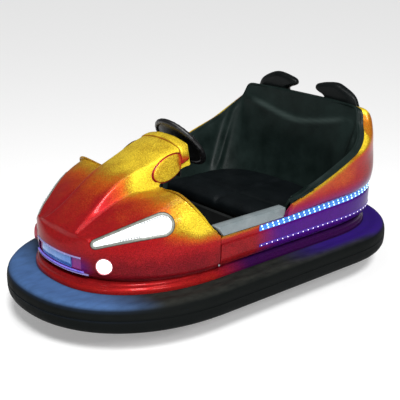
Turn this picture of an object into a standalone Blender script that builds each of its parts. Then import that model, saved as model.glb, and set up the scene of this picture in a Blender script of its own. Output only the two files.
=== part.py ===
"""Battery bumper car for two riders, built as separate named pieces.

Metres, +Z up. The nose points to -Y, the driver's left is +X, and the origin is on the floor
under the middle of the rubber bumper.
"""

import math

import bmesh
import bpy
import numpy as np
from mathutils import Matrix, Vector

for old in list(bpy.data.objects):
    bpy.data.objects.remove(old, do_unlink=True)

# ---------------------------------------------------------------- driving dimensions
LENGTH = 1.95
WIDTH = 1.106
GAP = 0.0004  # between pieces that touch
RUNNING_GAP = 0.006  # between pieces that move past each other
BEARING_GAP = 0.0003  # between a shaft and the bore that carries it

NOSE = -LENGTH / 2
TAIL = LENGTH / 2
HALF = WIDTH / 2

BUMPER_BOTTOM = 0.114
BUMPER_TOP = 0.235
BUMPER_NOSE_RUN = 0.640
BUMPER_TAIL_RUN = 0.513
BUMPER_SIDE_DEPTH = 0.108
BUMPER_NOSE_DEPTH = 0.135
BUMPER_TAIL_DEPTH = 0.110
RIM_WALL = 0.010

BASE_TOP = 0.280
BASE_WIDTH = 0.050

SHELL_WALL = 0.006
LIP_Z = 0.295
BELT_Z = 0.350
NECK_INSET = 0.030
SHELL_NOSE = NOSE + 0.150
SHELL_NOSE_RUN = 0.560
SHELL_HALF = HALF - 0.090
SEAM_Y = NOSE + 0.672
SEAM_GAP = 0.002
SILL_Z = 0.430
NOSE_CORNER = 0.30  # share of the nose curve that the hood's front edge takes

HOOD_FRONT = NOSE + 0.180
HOOD_CUT = NOSE + 0.585
HOOD_END = NOSE + 0.760

REAR_LOW_HALF = HALF - 0.098
REAR_LOW_TAIL = TAIL - 0.125
REAR_LOW_RUN = 0.510
REAR_HIGH_HALF = HALF - 0.053
REAR_HIGH_TAIL = TAIL - 0.105
REAR_HIGH_RUN = 0.587
REAR_POWER = 3.0
STRIP_LOW_Z = (0.322, 0.338)
STRIP_HIGH_Z = (0.397, 0.427)
STRIP_RISE = 0.034  # how much higher the upper strip runs at the tail
STRIP_WALL = 0.004
STRIP_START = SEAM_Y + 0.218
PAD_BACK = SEAM_Y + 0.380
PAD_HEIGHT = 0.044
PAD_WIDTH = 0.055
PAD_LEAN = (-0.026, 0.012)
SIDE_SHELF = 0.010
BACK_SHELF = 0.052

RIM_HALF = HALF - 0.060
BACK_HALF = HALF - 0.179
BACK_Y = TAIL - 0.339
BACK_TOP = 0.812

SEAT_WALL = 0.018
SEAT_OVER_RIM = 0.012
SEAT_CLEARANCE = 0.006
BENCH_Z = 0.330
BENCH_FRONT = TAIL - 0.925
CUSHION_HEIGHT = 0.070
SEAT_BOW = 0.006
BATTERY_HALF = 0.235
BATTERY_ROOM = 0.030
BENCH_WALL = 0.010
BENCH_HALF = HALF - 0.168

HORN_INNER = 0.125
HORN_OUTER = BACK_HALF - 0.030
HORN_TIP = 0.062
HORN_RISE = 0.090
HORN_DEPTH = 0.046

WHEEL_RADIUS = 0.143
WHEEL_TUBE = 0.013
WHEEL_HUB = Vector((0.0, NOSE + 0.832, 0.709))
COLUMN_SLOPE = math.radians(37.0)
COLUMN_RADIUS = 0.022
SHAFT_RADIUS = 0.010

RAIL_X = 0.260
RAIL_WIDTH = 0.040
RAIL_Z = (0.150, 0.185)
BAR_HALF = 0.015
BAR_INSET = 0.004
BRIDGE_DEPTH = 0.100
PIN_RADIUS = 0.018
PIN_BORE = 0.026
CHEEK_WALL = 0.008
MOTOR_LENGTH = 0.105
MOTOR_RADIUS = 0.046
MOTOR_LIFT = 0.012
HUB_SHARE = 0.62
FLOOR_WALL = 0.004
LINER_WALL = 0.006
TOE_WALL = 0.008
TOE_TOP = 0.440
FLOOR_BACK = BENCH_FRONT + 0.180
TURRET_Y = NOSE + 0.445
BRIDGE_Z = (0.228, 0.236)
TURNTABLE_RADIUS = 0.115
DRIVE_RADIUS = 0.100
DRIVE_WIDTH = 0.045
REAR_RADIUS = 0.100
REAR_WIDTH = 0.045
REAR_WHEEL_X = 0.335
AXLE_Y = TAIL - 0.400
AXLE_RADIUS = 0.010

PARTS = bpy.data.collections.new("bumper_car")
CUTTERS = bpy.data.collections.new("cutters")
bpy.context.scene.collection.children.link(PARTS)
bpy.context.scene.collection.children.link(CUTTERS)


# ---------------------------------------------------------------- materials
def material(name, color, roughness, metallic=0.0):
    made = bpy.data.materials.new(name)
    made.use_nodes = True
    shader = made.node_tree.nodes["Principled BSDF"]
    shader.inputs["Base Color"].default_value = (*color, 1.0)
    shader.inputs["Roughness"].default_value = roughness
    shader.inputs["Metallic"].default_value = metallic
    return made


RUBBER = material("bumper rubber", (0.02, 0.02, 0.022), 0.75)
STEEL = material("painted steel", (0.05, 0.05, 0.055), 0.5, 0.6)
RED = material("candy red", (0.55, 0.03, 0.02), 0.25, 0.3)
GOLD = material("candy gold", (0.75, 0.45, 0.05), 0.25, 0.3)
VINYL = material("black vinyl", (0.015, 0.02, 0.018), 0.45)
PLASTIC = material("black plastic", (0.015, 0.015, 0.015), 0.4)
GREY = material("grey pad", (0.35, 0.37, 0.39), 0.45)
LENS = material("clear lens", (0.9, 0.92, 0.95), 0.1)
BLUE = material("blue lens", (0.1, 0.25, 0.8), 0.2)
CHROME = material("bright trim", (0.8, 0.8, 0.85), 0.15, 1.0)
TYRE = material("wheel rubber", (0.03, 0.03, 0.03), 0.8)
CASE = material("battery case", (0.08, 0.08, 0.09), 0.6)


# ---------------------------------------------------------------- building tools
def add_object(name, mesh, finish, collection=None):
    made = bpy.data.objects.new(name, mesh)
    (collection or PARTS).objects.link(made)
    if finish:
        mesh.materials.append(finish)
    return made


def mesh_object(name, points, faces, finish, collection=None):
    mesh = bpy.data.meshes.new(name)
    mesh.from_pydata([tuple(map(float, point)) for point in points], [], faces)
    mesh.validate()
    made = add_object(name, mesh, finish, collection)
    if collection is CUTTERS:
        hide(made)
    return made


def hide(cutter):
    cutter.hide_render = True
    cutter.display_type = "WIRE"


def smooth(made, angle=35.0):
    made.data.shade_smooth()
    made.data.set_sharp_from_angle(angle=math.radians(angle))


def grid_faces(rows, columns, wrap=False, first=0):
    """Quads over rows x columns points, numbered row by row."""
    faces = []
    for row in range(rows - 1):
        for column in range(columns if wrap else columns - 1):
            after = (column + 1) % columns
            a = first + row * columns
            b = a + columns
            faces.append((a + column, a + after, b + after, b + column))
    return faces


def recalculate(mesh):
    shape = bmesh.new()
    shape.from_mesh(mesh)
    bmesh.ops.remove_doubles(shape, verts=shape.verts, dist=1e-6)
    bmesh.ops.recalc_face_normals(shape, faces=shape.faces)
    shape.to_mesh(mesh)
    shape.free()


def skin(name, points, faces, wall, finish, outward, collection=None, proud=0.0):
    """An open surface made solid: its wall runs inward from the surface, plus what stands proud.
    outward is a point and a direction: the face nearest the point must look along it."""
    made = mesh_object(name, points, faces, finish, collection)
    recalculate(made.data)
    place, direction = (Vector(value) for value in outward)
    nearest = min(made.data.polygons, key=lambda face: (face.center - place).length)
    if nearest.normal.dot(direction) < 0:
        made.data.flip_normals()
    solid = made.modifiers.new("wall", "SOLIDIFY")
    solid.thickness = wall + proud
    solid.offset = -1.0 + 2.0 * proud / (wall + proud)
    solid.use_even_offset = False
    smooth(made)
    return made


def baked(made):
    """The object's mesh with its modifiers applied."""
    graph = bpy.context.evaluated_depsgraph_get()
    mesh = bpy.data.meshes.new_from_object(made.evaluated_get(graph))
    made.modifiers.clear()
    made.data = mesh
    return made


def boolean(target, cutter, operation="DIFFERENCE"):
    """Cuts or joins at once, and removes the cutter."""
    step = target.modifiers.new(operation.lower(), "BOOLEAN")
    step.operation = operation
    step.object = cutter
    step.solver = "EXACT"
    bpy.context.view_layer.update()
    baked(target)
    bpy.data.objects.remove(cutter, do_unlink=True)
    return target


def ring(name, loops, finish):
    """A closed band through loops of equally many points: the loops go once round its section."""
    count = len(loops[0])
    points = [point for loop in loops for point in loop]
    faces = grid_faces(len(loops), count, wrap=True)
    last = (len(loops) - 1) * count
    for column in range(count):
        after = (column + 1) % count
        faces.append((last + column, last + after, after, column))
    made = mesh_object(name, points, faces, finish)
    recalculate(made.data)
    smooth(made)
    return made


def loft(name, sections, finish, collection=None):
    """A closed solid through sections of equally many points, capped at both ends."""
    count = len(sections[0])
    points = [point for section in sections for point in section]
    faces = grid_faces(len(sections), count, wrap=True)
    faces.append(tuple(range(count)))
    faces.append(tuple(len(points) - count + index for index in range(count)))
    made = mesh_object(name, points, faces, finish, collection)
    recalculate(made.data)
    return made


def box(name, low, high, finish, bevel=0.0, collection=None):
    mesh = bpy.data.meshes.new(name)
    shape = bmesh.new()
    size = Vector(high) - Vector(low)
    centre = (Vector(high) + Vector(low)) / 2
    place = Matrix.Translation(centre) @ Matrix.Diagonal((*size, 1.0))
    bmesh.ops.create_cube(shape, size=1.0, matrix=place)
    shape.to_mesh(mesh)
    shape.free()
    made = add_object(name, mesh, finish, collection)
    if collection is CUTTERS:
        hide(made)
    if bevel:
        edge = made.modifiers.new("edges", "BEVEL")
        edge.width = bevel
        edge.segments = 2
    return made


def rod(name, start, end, radius, finish, sides=24, collection=None, end_radius=None):
    """A cylinder or a cone between two points."""
    start, end = Vector(start), Vector(end)
    line = end - start
    turn = line.to_track_quat("Z", "Y").to_matrix().to_4x4()
    mesh = bpy.data.meshes.new(name)
    shape = bmesh.new()
    bmesh.ops.create_cone(
        shape,
        cap_ends=True,
        segments=sides,
        radius1=radius,
        radius2=radius if end_radius is None else end_radius,
        depth=line.length,
        matrix=Matrix.Translation((start + end) / 2) @ turn,
    )
    shape.to_mesh(mesh)
    shape.free()
    made = add_object(name, mesh, finish, collection)
    if collection is CUTTERS:
        hide(made)
    smooth(made)
    return made


def bearing(radius, sides=24):
    """Radius of a faceted bore whose flats stand a bearing gap off a shaft."""
    return (radius + BEARING_GAP) / math.cos(math.pi / sides)


def centred(made, place):
    """Moves the origin to a joint's axis and leaves the shape where it is."""
    place = Vector(place)
    made.data.transform(Matrix.Translation(-place))
    made.location = place
    return made


def through(points, count):
    """A smooth curve through hand-set points (Catmull-Rom), sampled evenly by point number."""
    known = np.array(points, float)
    padded = np.vstack([2 * known[0] - known[1], known, 2 * known[-1] - known[-2]])
    place = np.linspace(0, len(known) - 1, count)
    index = np.minimum(place.astype(int), len(known) - 2)
    share = (place - index)[:, None]
    p0, p1, p2, p3 = (padded[index + step] for step in range(4))
    return 0.5 * (
        2 * p1
        + (p2 - p0) * share
        + (2 * p0 - 5 * p1 + 4 * p2 - p3) * share**2
        + (3 * p1 - p0 - 3 * p2 + p3) * share**3
    )


# ---------------------------------------------------------------- plan outlines
class Plan:
    """A rounded outline seen from above: two power curves and straight sides between them."""

    def __init__(self, half, nose, tail, nose_run, tail_run, nose_power=2.2, tail_power=2.28):
        self.half, self.nose, self.tail = half, nose, tail
        self.nose_run, self.tail_run = nose_run, tail_run
        self.nose_power, self.tail_power = nose_power, tail_power

    def inset(self, depth):
        return Plan(
            self.half - depth,
            self.nose + depth,
            self.tail - depth,
            self.nose_run - depth,
            self.tail_run - depth,
            self.nose_power,
            self.tail_power,
        )

    def nose_points(self, share):
        """Points of the nose curve: share 0 is the nose's middle and 1 is where the side starts."""
        angle = np.asarray(share) * math.pi / 2
        x = self.half * np.sin(angle) ** (2 / self.nose_power)
        fall = np.cos(angle).clip(0) ** (2 / self.nose_power)
        return np.stack([x, self.nose + self.nose_run * (1 - fall)], -1)

    def tail_points(self, share):
        """Points of the tail curve: share 0 is where the side ends and 1 is the tail's middle."""
        angle = np.asarray(share) * math.pi / 2
        x = self.half * np.cos(angle).clip(0) ** (2 / self.tail_power)
        rise = np.sin(angle) ** (2 / self.tail_power)
        return np.stack([x, self.tail - self.tail_run * (1 - rise)], -1)

    def side_end(self):
        return self.tail - self.tail_run

    def loop(self, z, corner=13, side=4):
        """The whole outline at one height, the same count of points on every plan."""
        nose = self.nose_points(np.linspace(0, 1, corner))
        tail = self.tail_points(np.linspace(0, 1, corner))
        straight = np.linspace(nose[-1], tail[0], side + 2)[1:-1]
        right = np.vstack([nose, straight, tail])
        left = right[-2:0:-1] * (-1, 1)
        around = np.vstack([right, left])
        return np.column_stack([around, np.full(len(around), z)])


OUTER = Plan(HALF, NOSE, TAIL, BUMPER_NOSE_RUN, BUMPER_TAIL_RUN)
BASE = Plan(
    HALF - BUMPER_SIDE_DEPTH,
    NOSE + BUMPER_NOSE_DEPTH,
    TAIL - BUMPER_TAIL_DEPTH,
    BUMPER_NOSE_RUN - 0.090,
    BUMPER_TAIL_RUN - 0.040,
    2.3,
    2.6,
)


def mixed(first, second, share, z):
    """A loop between two plans, at one height."""
    loop = (1 - share) * first.loop(z) + share * second.loop(z)
    return loop


# ---------------------------------------------------------------- bumper, rim and base ring
def build_bumper():
    inner = BASE.inset(-GAP)
    loops = [
        OUTER.inset(0.026).loop(BUMPER_BOTTOM),
        OUTER.inset(0.008).loop(BUMPER_BOTTOM + 0.014),
        OUTER.loop(BUMPER_BOTTOM + 0.040),
        OUTER.loop(BUMPER_TOP - 0.040),
        OUTER.inset(0.004).loop(BUMPER_TOP - 0.018),
        OUTER.inset(0.014).loop(BUMPER_TOP - 0.006),
        OUTER.inset(0.032).loop(BUMPER_TOP),
        mixed(OUTER, inner, 0.6, BUMPER_TOP),
        inner.loop(BUMPER_TOP),
        inner.loop(BUMPER_BOTTOM),
        mixed(OUTER, inner, 0.6, BUMPER_BOTTOM),
    ]
    ring("bumper_tyre", loops, RUBBER)


def build_rim():
    low = BUMPER_BOTTOM + 0.012
    loops = [
        BASE.inset(GAP).loop(low),
        BASE.inset(GAP).loop(BUMPER_TOP),
        BASE.inset(RIM_WALL).loop(BUMPER_TOP),
        BASE.inset(RIM_WALL).loop(low),
    ]
    ring("bumper_rim", loops, STEEL)


def build_base_ring():
    bottom = BUMPER_TOP + GAP
    loops = [
        BASE.loop(bottom),
        BASE.inset(0.002).loop(BASE_TOP - 0.020),
        BASE.inset(0.010).loop(BASE_TOP - 0.006),
        BASE.inset(0.022).loop(BASE_TOP),
        BASE.inset(BASE_WIDTH).loop(BASE_TOP),
        BASE.inset(BASE_WIDTH).loop(bottom),
    ]
    ring("base_ring", loops, RED)


# ---------------------------------------------------------------- front body shell
SHELL = Plan(SHELL_HALF, SHELL_NOSE, TAIL, SHELL_NOSE_RUN, 0.3, 2.25)
SEAM_SHARE = 0.965  # where the seam meets the nose curve of the shell
LOWER_ROWS = ((NECK_INSET, BASE_TOP + GAP), (NECK_INSET, LIP_Z - 0.003), (0.014, LIP_Z),
              (0.005, LIP_Z + 0.012), (0.0, BELT_Z))
ROUND_ROWS = 6
TOP_ROWS = 5


def along_hood(y, values):
    """A height or a half width read at a place along the hood, from its values at even steps."""
    known = np.linspace(HOOD_FRONT, HOOD_END, len(values))
    fine = through(np.column_stack([known, values]), 60)
    return np.interp(y, fine[:, 0], fine[:, 1])


def foot_x(y):
    return along_hood(y, (0.126, 0.124, 0.128, 0.140, 0.156, 0.158, 0.156))


def foot_z(y):
    return along_hood(y, (0.486, 0.524, 0.556, 0.582, 0.584, 0.612, 0.652))


def ridge_x(y):
    return along_hood(y, (0.112, 0.098, 0.098, 0.108, 0.124, 0.135, 0.138))


def ridge_z(y):
    return along_hood(y, (0.498, 0.557, 0.609, 0.647, 0.678, 0.712, 0.738))


def spine_z(y):
    return along_hood(y, (0.502, 0.565, 0.621, 0.661, 0.694, 0.730, 0.758))


def cut_path(share):
    """The cockpit's front edge, from the sill up over the fender's crest to the hood's foot."""
    out = SHELL_HALF
    points = [
        (out - 0.003, SEAM_Y, SILL_Z),
        (out - 0.010, NOSE + 0.625, 0.473),
        (out - 0.024, NOSE + 0.593, 0.520),
        (out - 0.045, NOSE + 0.566, 0.560),
        (out - 0.070, NOSE + 0.545, 0.593),
        (out - 0.110, NOSE + 0.535, 0.613),
        (out - 0.165, NOSE + 0.540, 0.610),
        (out - 0.235, NOSE + 0.558, 0.596),
        (float(foot_x(HOOD_CUT)), HOOD_CUT, float(foot_z(HOOD_CUT))),
    ]
    fine = through(points, 60)
    place = np.linspace(0, 1, len(fine))
    return np.stack([np.interp(share, place, fine[:, axis]) for axis in range(3)], -1)


def shoulder_z(share):
    """Height of the fender's shoulder round the nose curve, from the hood's corner to the seam."""
    points = [(0.0, 0.470), (0.25, 0.492), (0.5, 0.530), (0.75, 0.572), (1.0, 0.608)]
    fine = through(points, 40)
    return np.interp(share, fine[:, 0], fine[:, 1])


def upper_column(plan_point, inner, inner_z, crest, reach):
    """Points over the shoulder and in to the hood, from one point of the shell's outline.
    The shoulder is a quarter round of the given reach, and a straight run with a small dip
    follows it."""
    outer = np.array(plan_point)
    inner = np.array(inner)
    span = np.linalg.norm(inner - outer)
    turn = np.linspace(0, math.pi / 2, ROUND_ROWS + 1)[1:]
    shares = np.concatenate([
        reach * (1 - np.cos(turn)),
        np.linspace(reach, span, TOP_ROWS + 1)[1:],
    ]) / span
    rounding = BELT_Z + (crest - BELT_Z) * np.sin(turn) ** 0.9
    across = np.linspace(0, 1, TOP_ROWS + 1)[1:]
    blend = across * across * (3 - 2 * across)
    flat = crest + (inner_z - crest) * blend
    plan = outer + (inner - outer) * shares[:, None]
    return np.column_stack([plan, np.concatenate([rounding, flat])])


def lower_column(plan_points):
    """The neck, lip and belt under a point of the outline: plan_points gives it at an inset."""
    return np.array([(*plan_points(inset), z) for inset, z in LOWER_ROWS])


def front_surface(hood_columns=9, end_columns=4, hood_rows=(0.0, 0.45, 0.8, 1.0)):
    """Points and faces of the front shell's outer surface, both sides."""
    lower = len(LOWER_ROWS)
    rows = lower + ROUND_ROWS + TOP_ROWS
    ys = np.linspace(HOOD_FRONT, HOOD_CUT, hood_columns)
    corner = NOSE_CORNER
    last_share = SEAM_SHARE
    fender = np.empty((hood_columns, rows, 3))
    cut = cut_path(np.linspace(0, 1, ROUND_ROWS + TOP_ROWS))
    for index, y in enumerate(ys):
        step = index / (hood_columns - 1)
        share = corner + (last_share - corner) * step

        def at(inset, share=share):
            return SHELL.inset(inset).nose_points(share)

        start = at(0.0)
        reach = 0.075 + 0.035 * step
        inner = (float(foot_x(y)), y)
        upper = upper_column(start, inner, float(foot_z(y)), float(shoulder_z(step)), reach)
        ends = np.linspace(0, 1, len(cut))[:, None]
        shift = (1 - ends) * (upper[0] - cut[0]) + ends * (upper[-1] - cut[-1])
        blend = step**3
        upper = (1 - blend) * upper + blend * (cut + shift * (1 - blend))
        fender[index, :lower] = lower_column(at)
        fender[index, lower:] = upper
    fender[-1, lower:] = cut

    row_count = len(hood_rows)
    end_ys = np.linspace(HOOD_CUT, HOOD_END, end_columns + 1)[1:]
    hood_ys = np.concatenate([ys[1:], end_ys])
    hood = np.empty((row_count, rows + len(hood_ys), 3))
    for row, place in enumerate(hood_rows):
        def across(y, place=place):
            ridge, foot = ridge_x(y), foot_x(y)
            if place <= 0.8:
                x = ridge * place / 0.8
                rise = spine_z(y) + (ridge_z(y) - spine_z(y)) * (place / 0.8) ** 2
            else:
                x = ridge + (foot - ridge) * (place - 0.8) / 0.2
                rise = ridge_z(y) + (foot_z(y) - ridge_z(y)) * (place - 0.8) / 0.2
            return np.column_stack([x, y, rise])

        def at(inset, place=place):
            front = SHELL.inset(inset)
            return front.nose_points(corner * place)

        front_row = across(np.array([HOOD_FRONT]))[0]
        upper = upper_column(at(0.0), front_row[:2], front_row[2], float(shoulder_z(0.0)), 0.030)
        hood[row, :lower] = lower_column(at)
        hood[row, lower:rows] = upper
        hood[row, rows:] = across(hood_ys)
    hood[-1, :rows] = fender[0]
    hood[0, :, 0] = 0.0

    points, faces = [], []
    for side in (1, -1):
        flip = np.array((side, 1, 1))
        first = len(points)
        points.extend((hood.reshape(-1, 3) * flip).tolist())
        faces.extend(grid_faces(row_count, hood.shape[1], first=first))
        first = len(points)
        joined = fender.copy()
        joined[1:, -1] = hood[-1, rows:rows + hood_columns - 1]
        points.extend((joined.reshape(-1, 3) * flip).tolist())
        faces.extend(grid_faces(hood_columns, rows, first=first))
    return points, faces


NOSE_OUT = ((0.0, SHELL_NOSE, BELT_Z), (0.0, -1.0, 0.0))


def build_front_shell():
    points, faces = front_surface()
    skin("front_body_shell", points, faces, SHELL_WALL, RED, NOSE_OUT)


# ---------------------------------------------------------------- rear body shell
LOW = Plan(REAR_LOW_HALF, NOSE, REAR_LOW_TAIL, 0.6, REAR_LOW_RUN, 2.2, REAR_POWER)
HIGH = Plan(REAR_HIGH_HALF, NOSE, REAR_HIGH_TAIL, 0.6, REAR_HIGH_RUN, 2.2, REAR_POWER)
TAIL_SHARES = np.linspace(0, 1, 13)[1:]


def side_ys():
    """Stations along the side, from the seam to where the tail curves in."""
    start = np.linspace(SEAM_Y + SEAM_GAP, STRIP_START, 3)
    middle = np.linspace(STRIP_START, PAD_BACK - 0.025, 3)[1:]
    rest = np.linspace(PAD_BACK, LOW.side_end(), 4)
    return np.concatenate([start, middle, rest])


def rim_points():
    """The rear shell's top edge, from the sill pad's back end round to the tail's middle."""
    return [
        (RIM_HALF - 0.003, PAD_BACK, 0.492),
        (RIM_HALF + 0.006, PAD_BACK + 0.150, 0.540),
        (RIM_HALF + 0.002, PAD_BACK + 0.325, 0.600),
        (RIM_HALF - 0.007, BACK_Y - 0.136, 0.637),
        (RIM_HALF - 0.019, BACK_Y - 0.086, 0.668),
        (RIM_HALF - 0.051, BACK_Y - 0.036, BACK_TOP - 0.097),
        (BACK_HALF + 0.022, BACK_Y - 0.006, BACK_TOP - 0.047),
        (BACK_HALF, BACK_Y + 0.004, BACK_TOP - 0.003),
        (BACK_HALF * 0.55, BACK_Y + 0.012, BACK_TOP),
        (0.0, BACK_Y + 0.014, BACK_TOP),
    ]


def rim_at(share):
    fine = through(rim_points(), 120)
    gaps = np.linalg.norm(np.diff(fine, axis=0), axis=1)
    place = np.concatenate([[0], np.cumsum(gaps)])
    place /= place[-1]
    return np.stack([np.interp(share, place, fine[:, axis]) for axis in range(3)], -1)


def rear_columns():
    """For each station: low outline point, high outline point, rim point, and outward direction."""
    ys = side_ys()
    pad = ys < PAD_BACK - 0.001
    low = np.vstack([np.column_stack([np.full(len(ys), LOW.half), ys]),
                     LOW.tail_points(TAIL_SHARES)])
    high_ys = np.interp(ys, (ys[0], ys[-1]), (ys[0], HIGH.side_end()))
    high = np.vstack([np.column_stack([np.full(len(ys), HIGH.half), high_ys]),
                      HIGH.tail_points(TAIL_SHARES)])
    free = np.count_nonzero(~pad) + len(TAIL_SHARES)
    shares = np.linspace(0, 1, free)
    rim = rim_at(shares)
    sill = np.column_stack([np.full(pad.sum(), HIGH.half - 0.042), ys[pad], np.full(pad.sum(), SILL_Z)])
    return low, high, np.vstack([sill, rim]), pad.sum()


def rear_surface():
    """Rows of the rear shell's outer surface, right side: rows by stations."""
    low, high, rim, pads = rear_columns()
    count = len(low)
    around = np.gradient(low, axis=0)
    normal = np.column_stack([around[:, 1], -around[:, 0]])
    normal /= np.linalg.norm(normal, axis=1)[:, None]
    normal[-1] = (0, 1)
    way = np.clip((np.arange(count) - pads) / (count - pads - 1), 0, 1)
    lift = STRIP_RISE * way

    def row(out, z, share=0.0):
        plan = low + normal * out
        plan = plan + (high - low) * share
        return np.column_stack([plan, np.broadcast_to(z, count)])

    rows = [
        row(-NECK_INSET, BASE_TOP + GAP),
        row(-NECK_INSET, LIP_Z - 0.003),
        row(-0.010, LIP_Z),
        row(0.000, LIP_Z + 0.010),
        row(0.006, STRIP_LOW_Z[0]),
        row(0.008, STRIP_LOW_Z[1]),
        row(0.010, STRIP_HIGH_Z[0] - 0.012 + lift),
        row(0.006, STRIP_HIGH_Z[0] + lift),
        row(0.008, STRIP_HIGH_Z[1] + lift),
    ]
    over = row(0.010, STRIP_HIGH_Z[1] + 0.002 + lift, 0.10)
    belly = np.column_stack([high, np.full(count, 0.0)])
    tall = rim[:, 2] - (STRIP_HIGH_Z[1] + lift)
    out_low = over.copy()
    out_low[:, 2] = STRIP_HIGH_Z[1] + lift + 0.012 + 0.030 * way
    out_low[:, :2] = low + (high - low) * 0.78 + normal * 0.002
    middle = belly.copy()
    middle[:, 2] = STRIP_HIGH_Z[1] + lift + 0.30 * tall
    middle[:, :2] = 0.88 * high + 0.12 * (rim[:, :2] + normal * 0.010)
    upper = belly.copy()
    upper[:, 2] = STRIP_HIGH_Z[1] + lift + 0.62 * tall
    upper[:, :2] = 0.70 * high + 0.30 * (rim[:, :2] + normal * 0.014)
    shelf = SIDE_SHELF + (BACK_SHELF - SIDE_SHELF) * np.clip((rim[:, 2] - 0.62) / 0.15, 0, 1)
    near = belly.copy()
    near[:, 2] = rim[:, 2] - 0.003
    near[:, :2] = rim[:, :2] + normal * shelf[:, None]
    inner = rim.copy()
    sill = np.arange(count) < pads
    for level, block in enumerate((over, out_low, middle, upper, near)):
        share = level / 5
        edge = SILL_Z - 0.002
        block[sill, 2] = edge
        block[sill, :2] = (rows[8][sill, :2] * (1 - share)
                           + rim[sill, :2] * share)
        rows.append(block)
    rows.append(inner)
    grid = np.array(rows)
    flat = STRIP_HIGH_Z[1] + 0.002
    grid[9:, :pads, 2] = np.maximum(grid[9:, :pads, 2], flat)
    grid[:, -1, 0] = 0.0
    return grid


def mirrored(grid):
    """Right half and its mirror as one grid that runs round the tail."""
    left = grid[:, -2::-1] * (-1, 1, 1)
    return np.concatenate([grid, left], axis=1)


def build_rear_shell():
    grid = mirrored(rear_surface())
    rows, columns = grid.shape[:2]
    out = ((LOW.half, 0.0, BELT_Z), (1.0, 0.0, 0.0))
    skin("rear_body_shell", grid.reshape(-1, 3), grid_faces(rows, columns), SHELL_WALL, GOLD, out)


def build_strips():
    grid = rear_surface()
    first = int(np.argmin(np.abs(side_ys() - STRIP_START)))
    for name, row in (("upper", 7), ("lower", 4)):
        patch = grid[row:row + 2, first:].copy()
        patch[:, -1, 0] = GAP
        around = np.gradient(patch, axis=1)
        upward = patch[1] - patch[0]
        normal = np.cross(around, upward)
        normal /= np.linalg.norm(normal, axis=-1)[..., None]
        outer = patch + normal * (GAP + STRIP_WALL)
        inner = patch + normal * GAP
        inner[:, -1, 0] = GAP
        outer[:, -1, 0] = GAP
        sections = [
            (outer[0, k], outer[1, k], inner[1, k], inner[0, k]) for k in range(patch.shape[1])
        ]
        for side, flip in (("left", 1), ("right", -1)):
            turned = [[point * (flip, 1, 1) for point in section] for section in sections]
            loft(f"led_strip_{name}_{side}", turned, LENS)


def build_sill_pads():
    """Grey step pads on the sills, between the fender's cut edge and the rear shell."""
    out = HIGH.half - 0.028
    top = SILL_Z + GAP + PAD_HEIGHT
    bottom = SILL_Z + 0.0014
    front = SEAM_Y + 0.004
    back = PAD_BACK - 0.036
    for side, flip in (("left", 1), ("right", -1)):
        sections = []
        for y, tilt in ((front, PAD_LEAN[0]), (back, PAD_LEAN[1])):
            sections.append([
                (flip * (out - 0.010), y, bottom),
                (flip * out, y, bottom + 0.006),
                (flip * (out - 0.004), y + tilt, top - 0.006),
                (flip * (out - 0.010), y + tilt, top),
                (flip * (out - PAD_WIDTH), y + tilt, top),
                (flip * (out - PAD_WIDTH), y, bottom),
            ])
        loft(f"sill_pad_{side}", sections, GREY)


# ---------------------------------------------------------------- seat
SEAT_FOOT = Plan(BENCH_HALF, NOSE, BACK_Y - 0.080, 0.3, 0.30, 2.2, 3.0)


def seat_outline(front, inset, z):
    """The bench's outline at one height, from its straight front edge round the back."""
    plan = SEAT_FOOT.inset(inset)
    tail = plan.tail_points(np.linspace(0, 1, 9))
    right = np.vstack([(plan.half, front), tail])
    around = np.vstack([right, right[-2::-1] * (-1, 1)])
    return np.column_stack([around, np.full(len(around), z)])


def seat_grid():
    """The seat shell's inner surface, right half: rows from the bench up to the rim."""
    count = 15
    rim = rim_at(np.linspace(0, 1, count))
    inward = np.column_stack([np.zeros(count), np.full(count, BENCH_FRONT + 0.25)]) - rim[:, :2]
    inward /= np.linalg.norm(inward, axis=1)[:, None]
    top = rim.copy()
    top[:, :2] += inward * (SHELL_WALL + SEAT_WALL + SEAT_CLEARANCE)
    top[:, 2] += SEAT_OVER_RIM
    foot = SEAT_FOOT
    side = np.column_stack([
        np.full(5, foot.half), np.linspace(PAD_BACK - 0.02, foot.side_end(), 5)])
    low = np.vstack([side, foot.tail_points(np.linspace(0, 1, count - 4)[1:])])
    base = np.column_stack([low, np.full(count, BENCH_Z - 0.012)])
    rows = []
    for share in (0.0, 0.25, 0.5, 0.75, 0.93, 1.0):
        bow = math.sin(share * math.pi) * SEAT_BOW
        row = base + (top - base) * share
        row[:, :2] -= inward * bow
        rows.append(row)
    grid = np.array(rows)
    grid[:, -1, 0] = 0.0
    return grid


def build_seat():
    grid = mirrored(seat_grid())
    rows, columns = grid.shape[:2]
    inside = ((0.0, BACK_Y, 0.6), (0.0, -1.0, 0.2))
    made = skin("seat_shell", grid.reshape(-1, 3), grid_faces(rows, columns), SEAT_WALL, VINYL, inside)
    below = box("below", (-HALF, NOSE, 0.0), (HALF, TAIL, BENCH_Z + GAP), None, collection=CUTTERS)
    boolean(made, below)
    build_bench()


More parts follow.
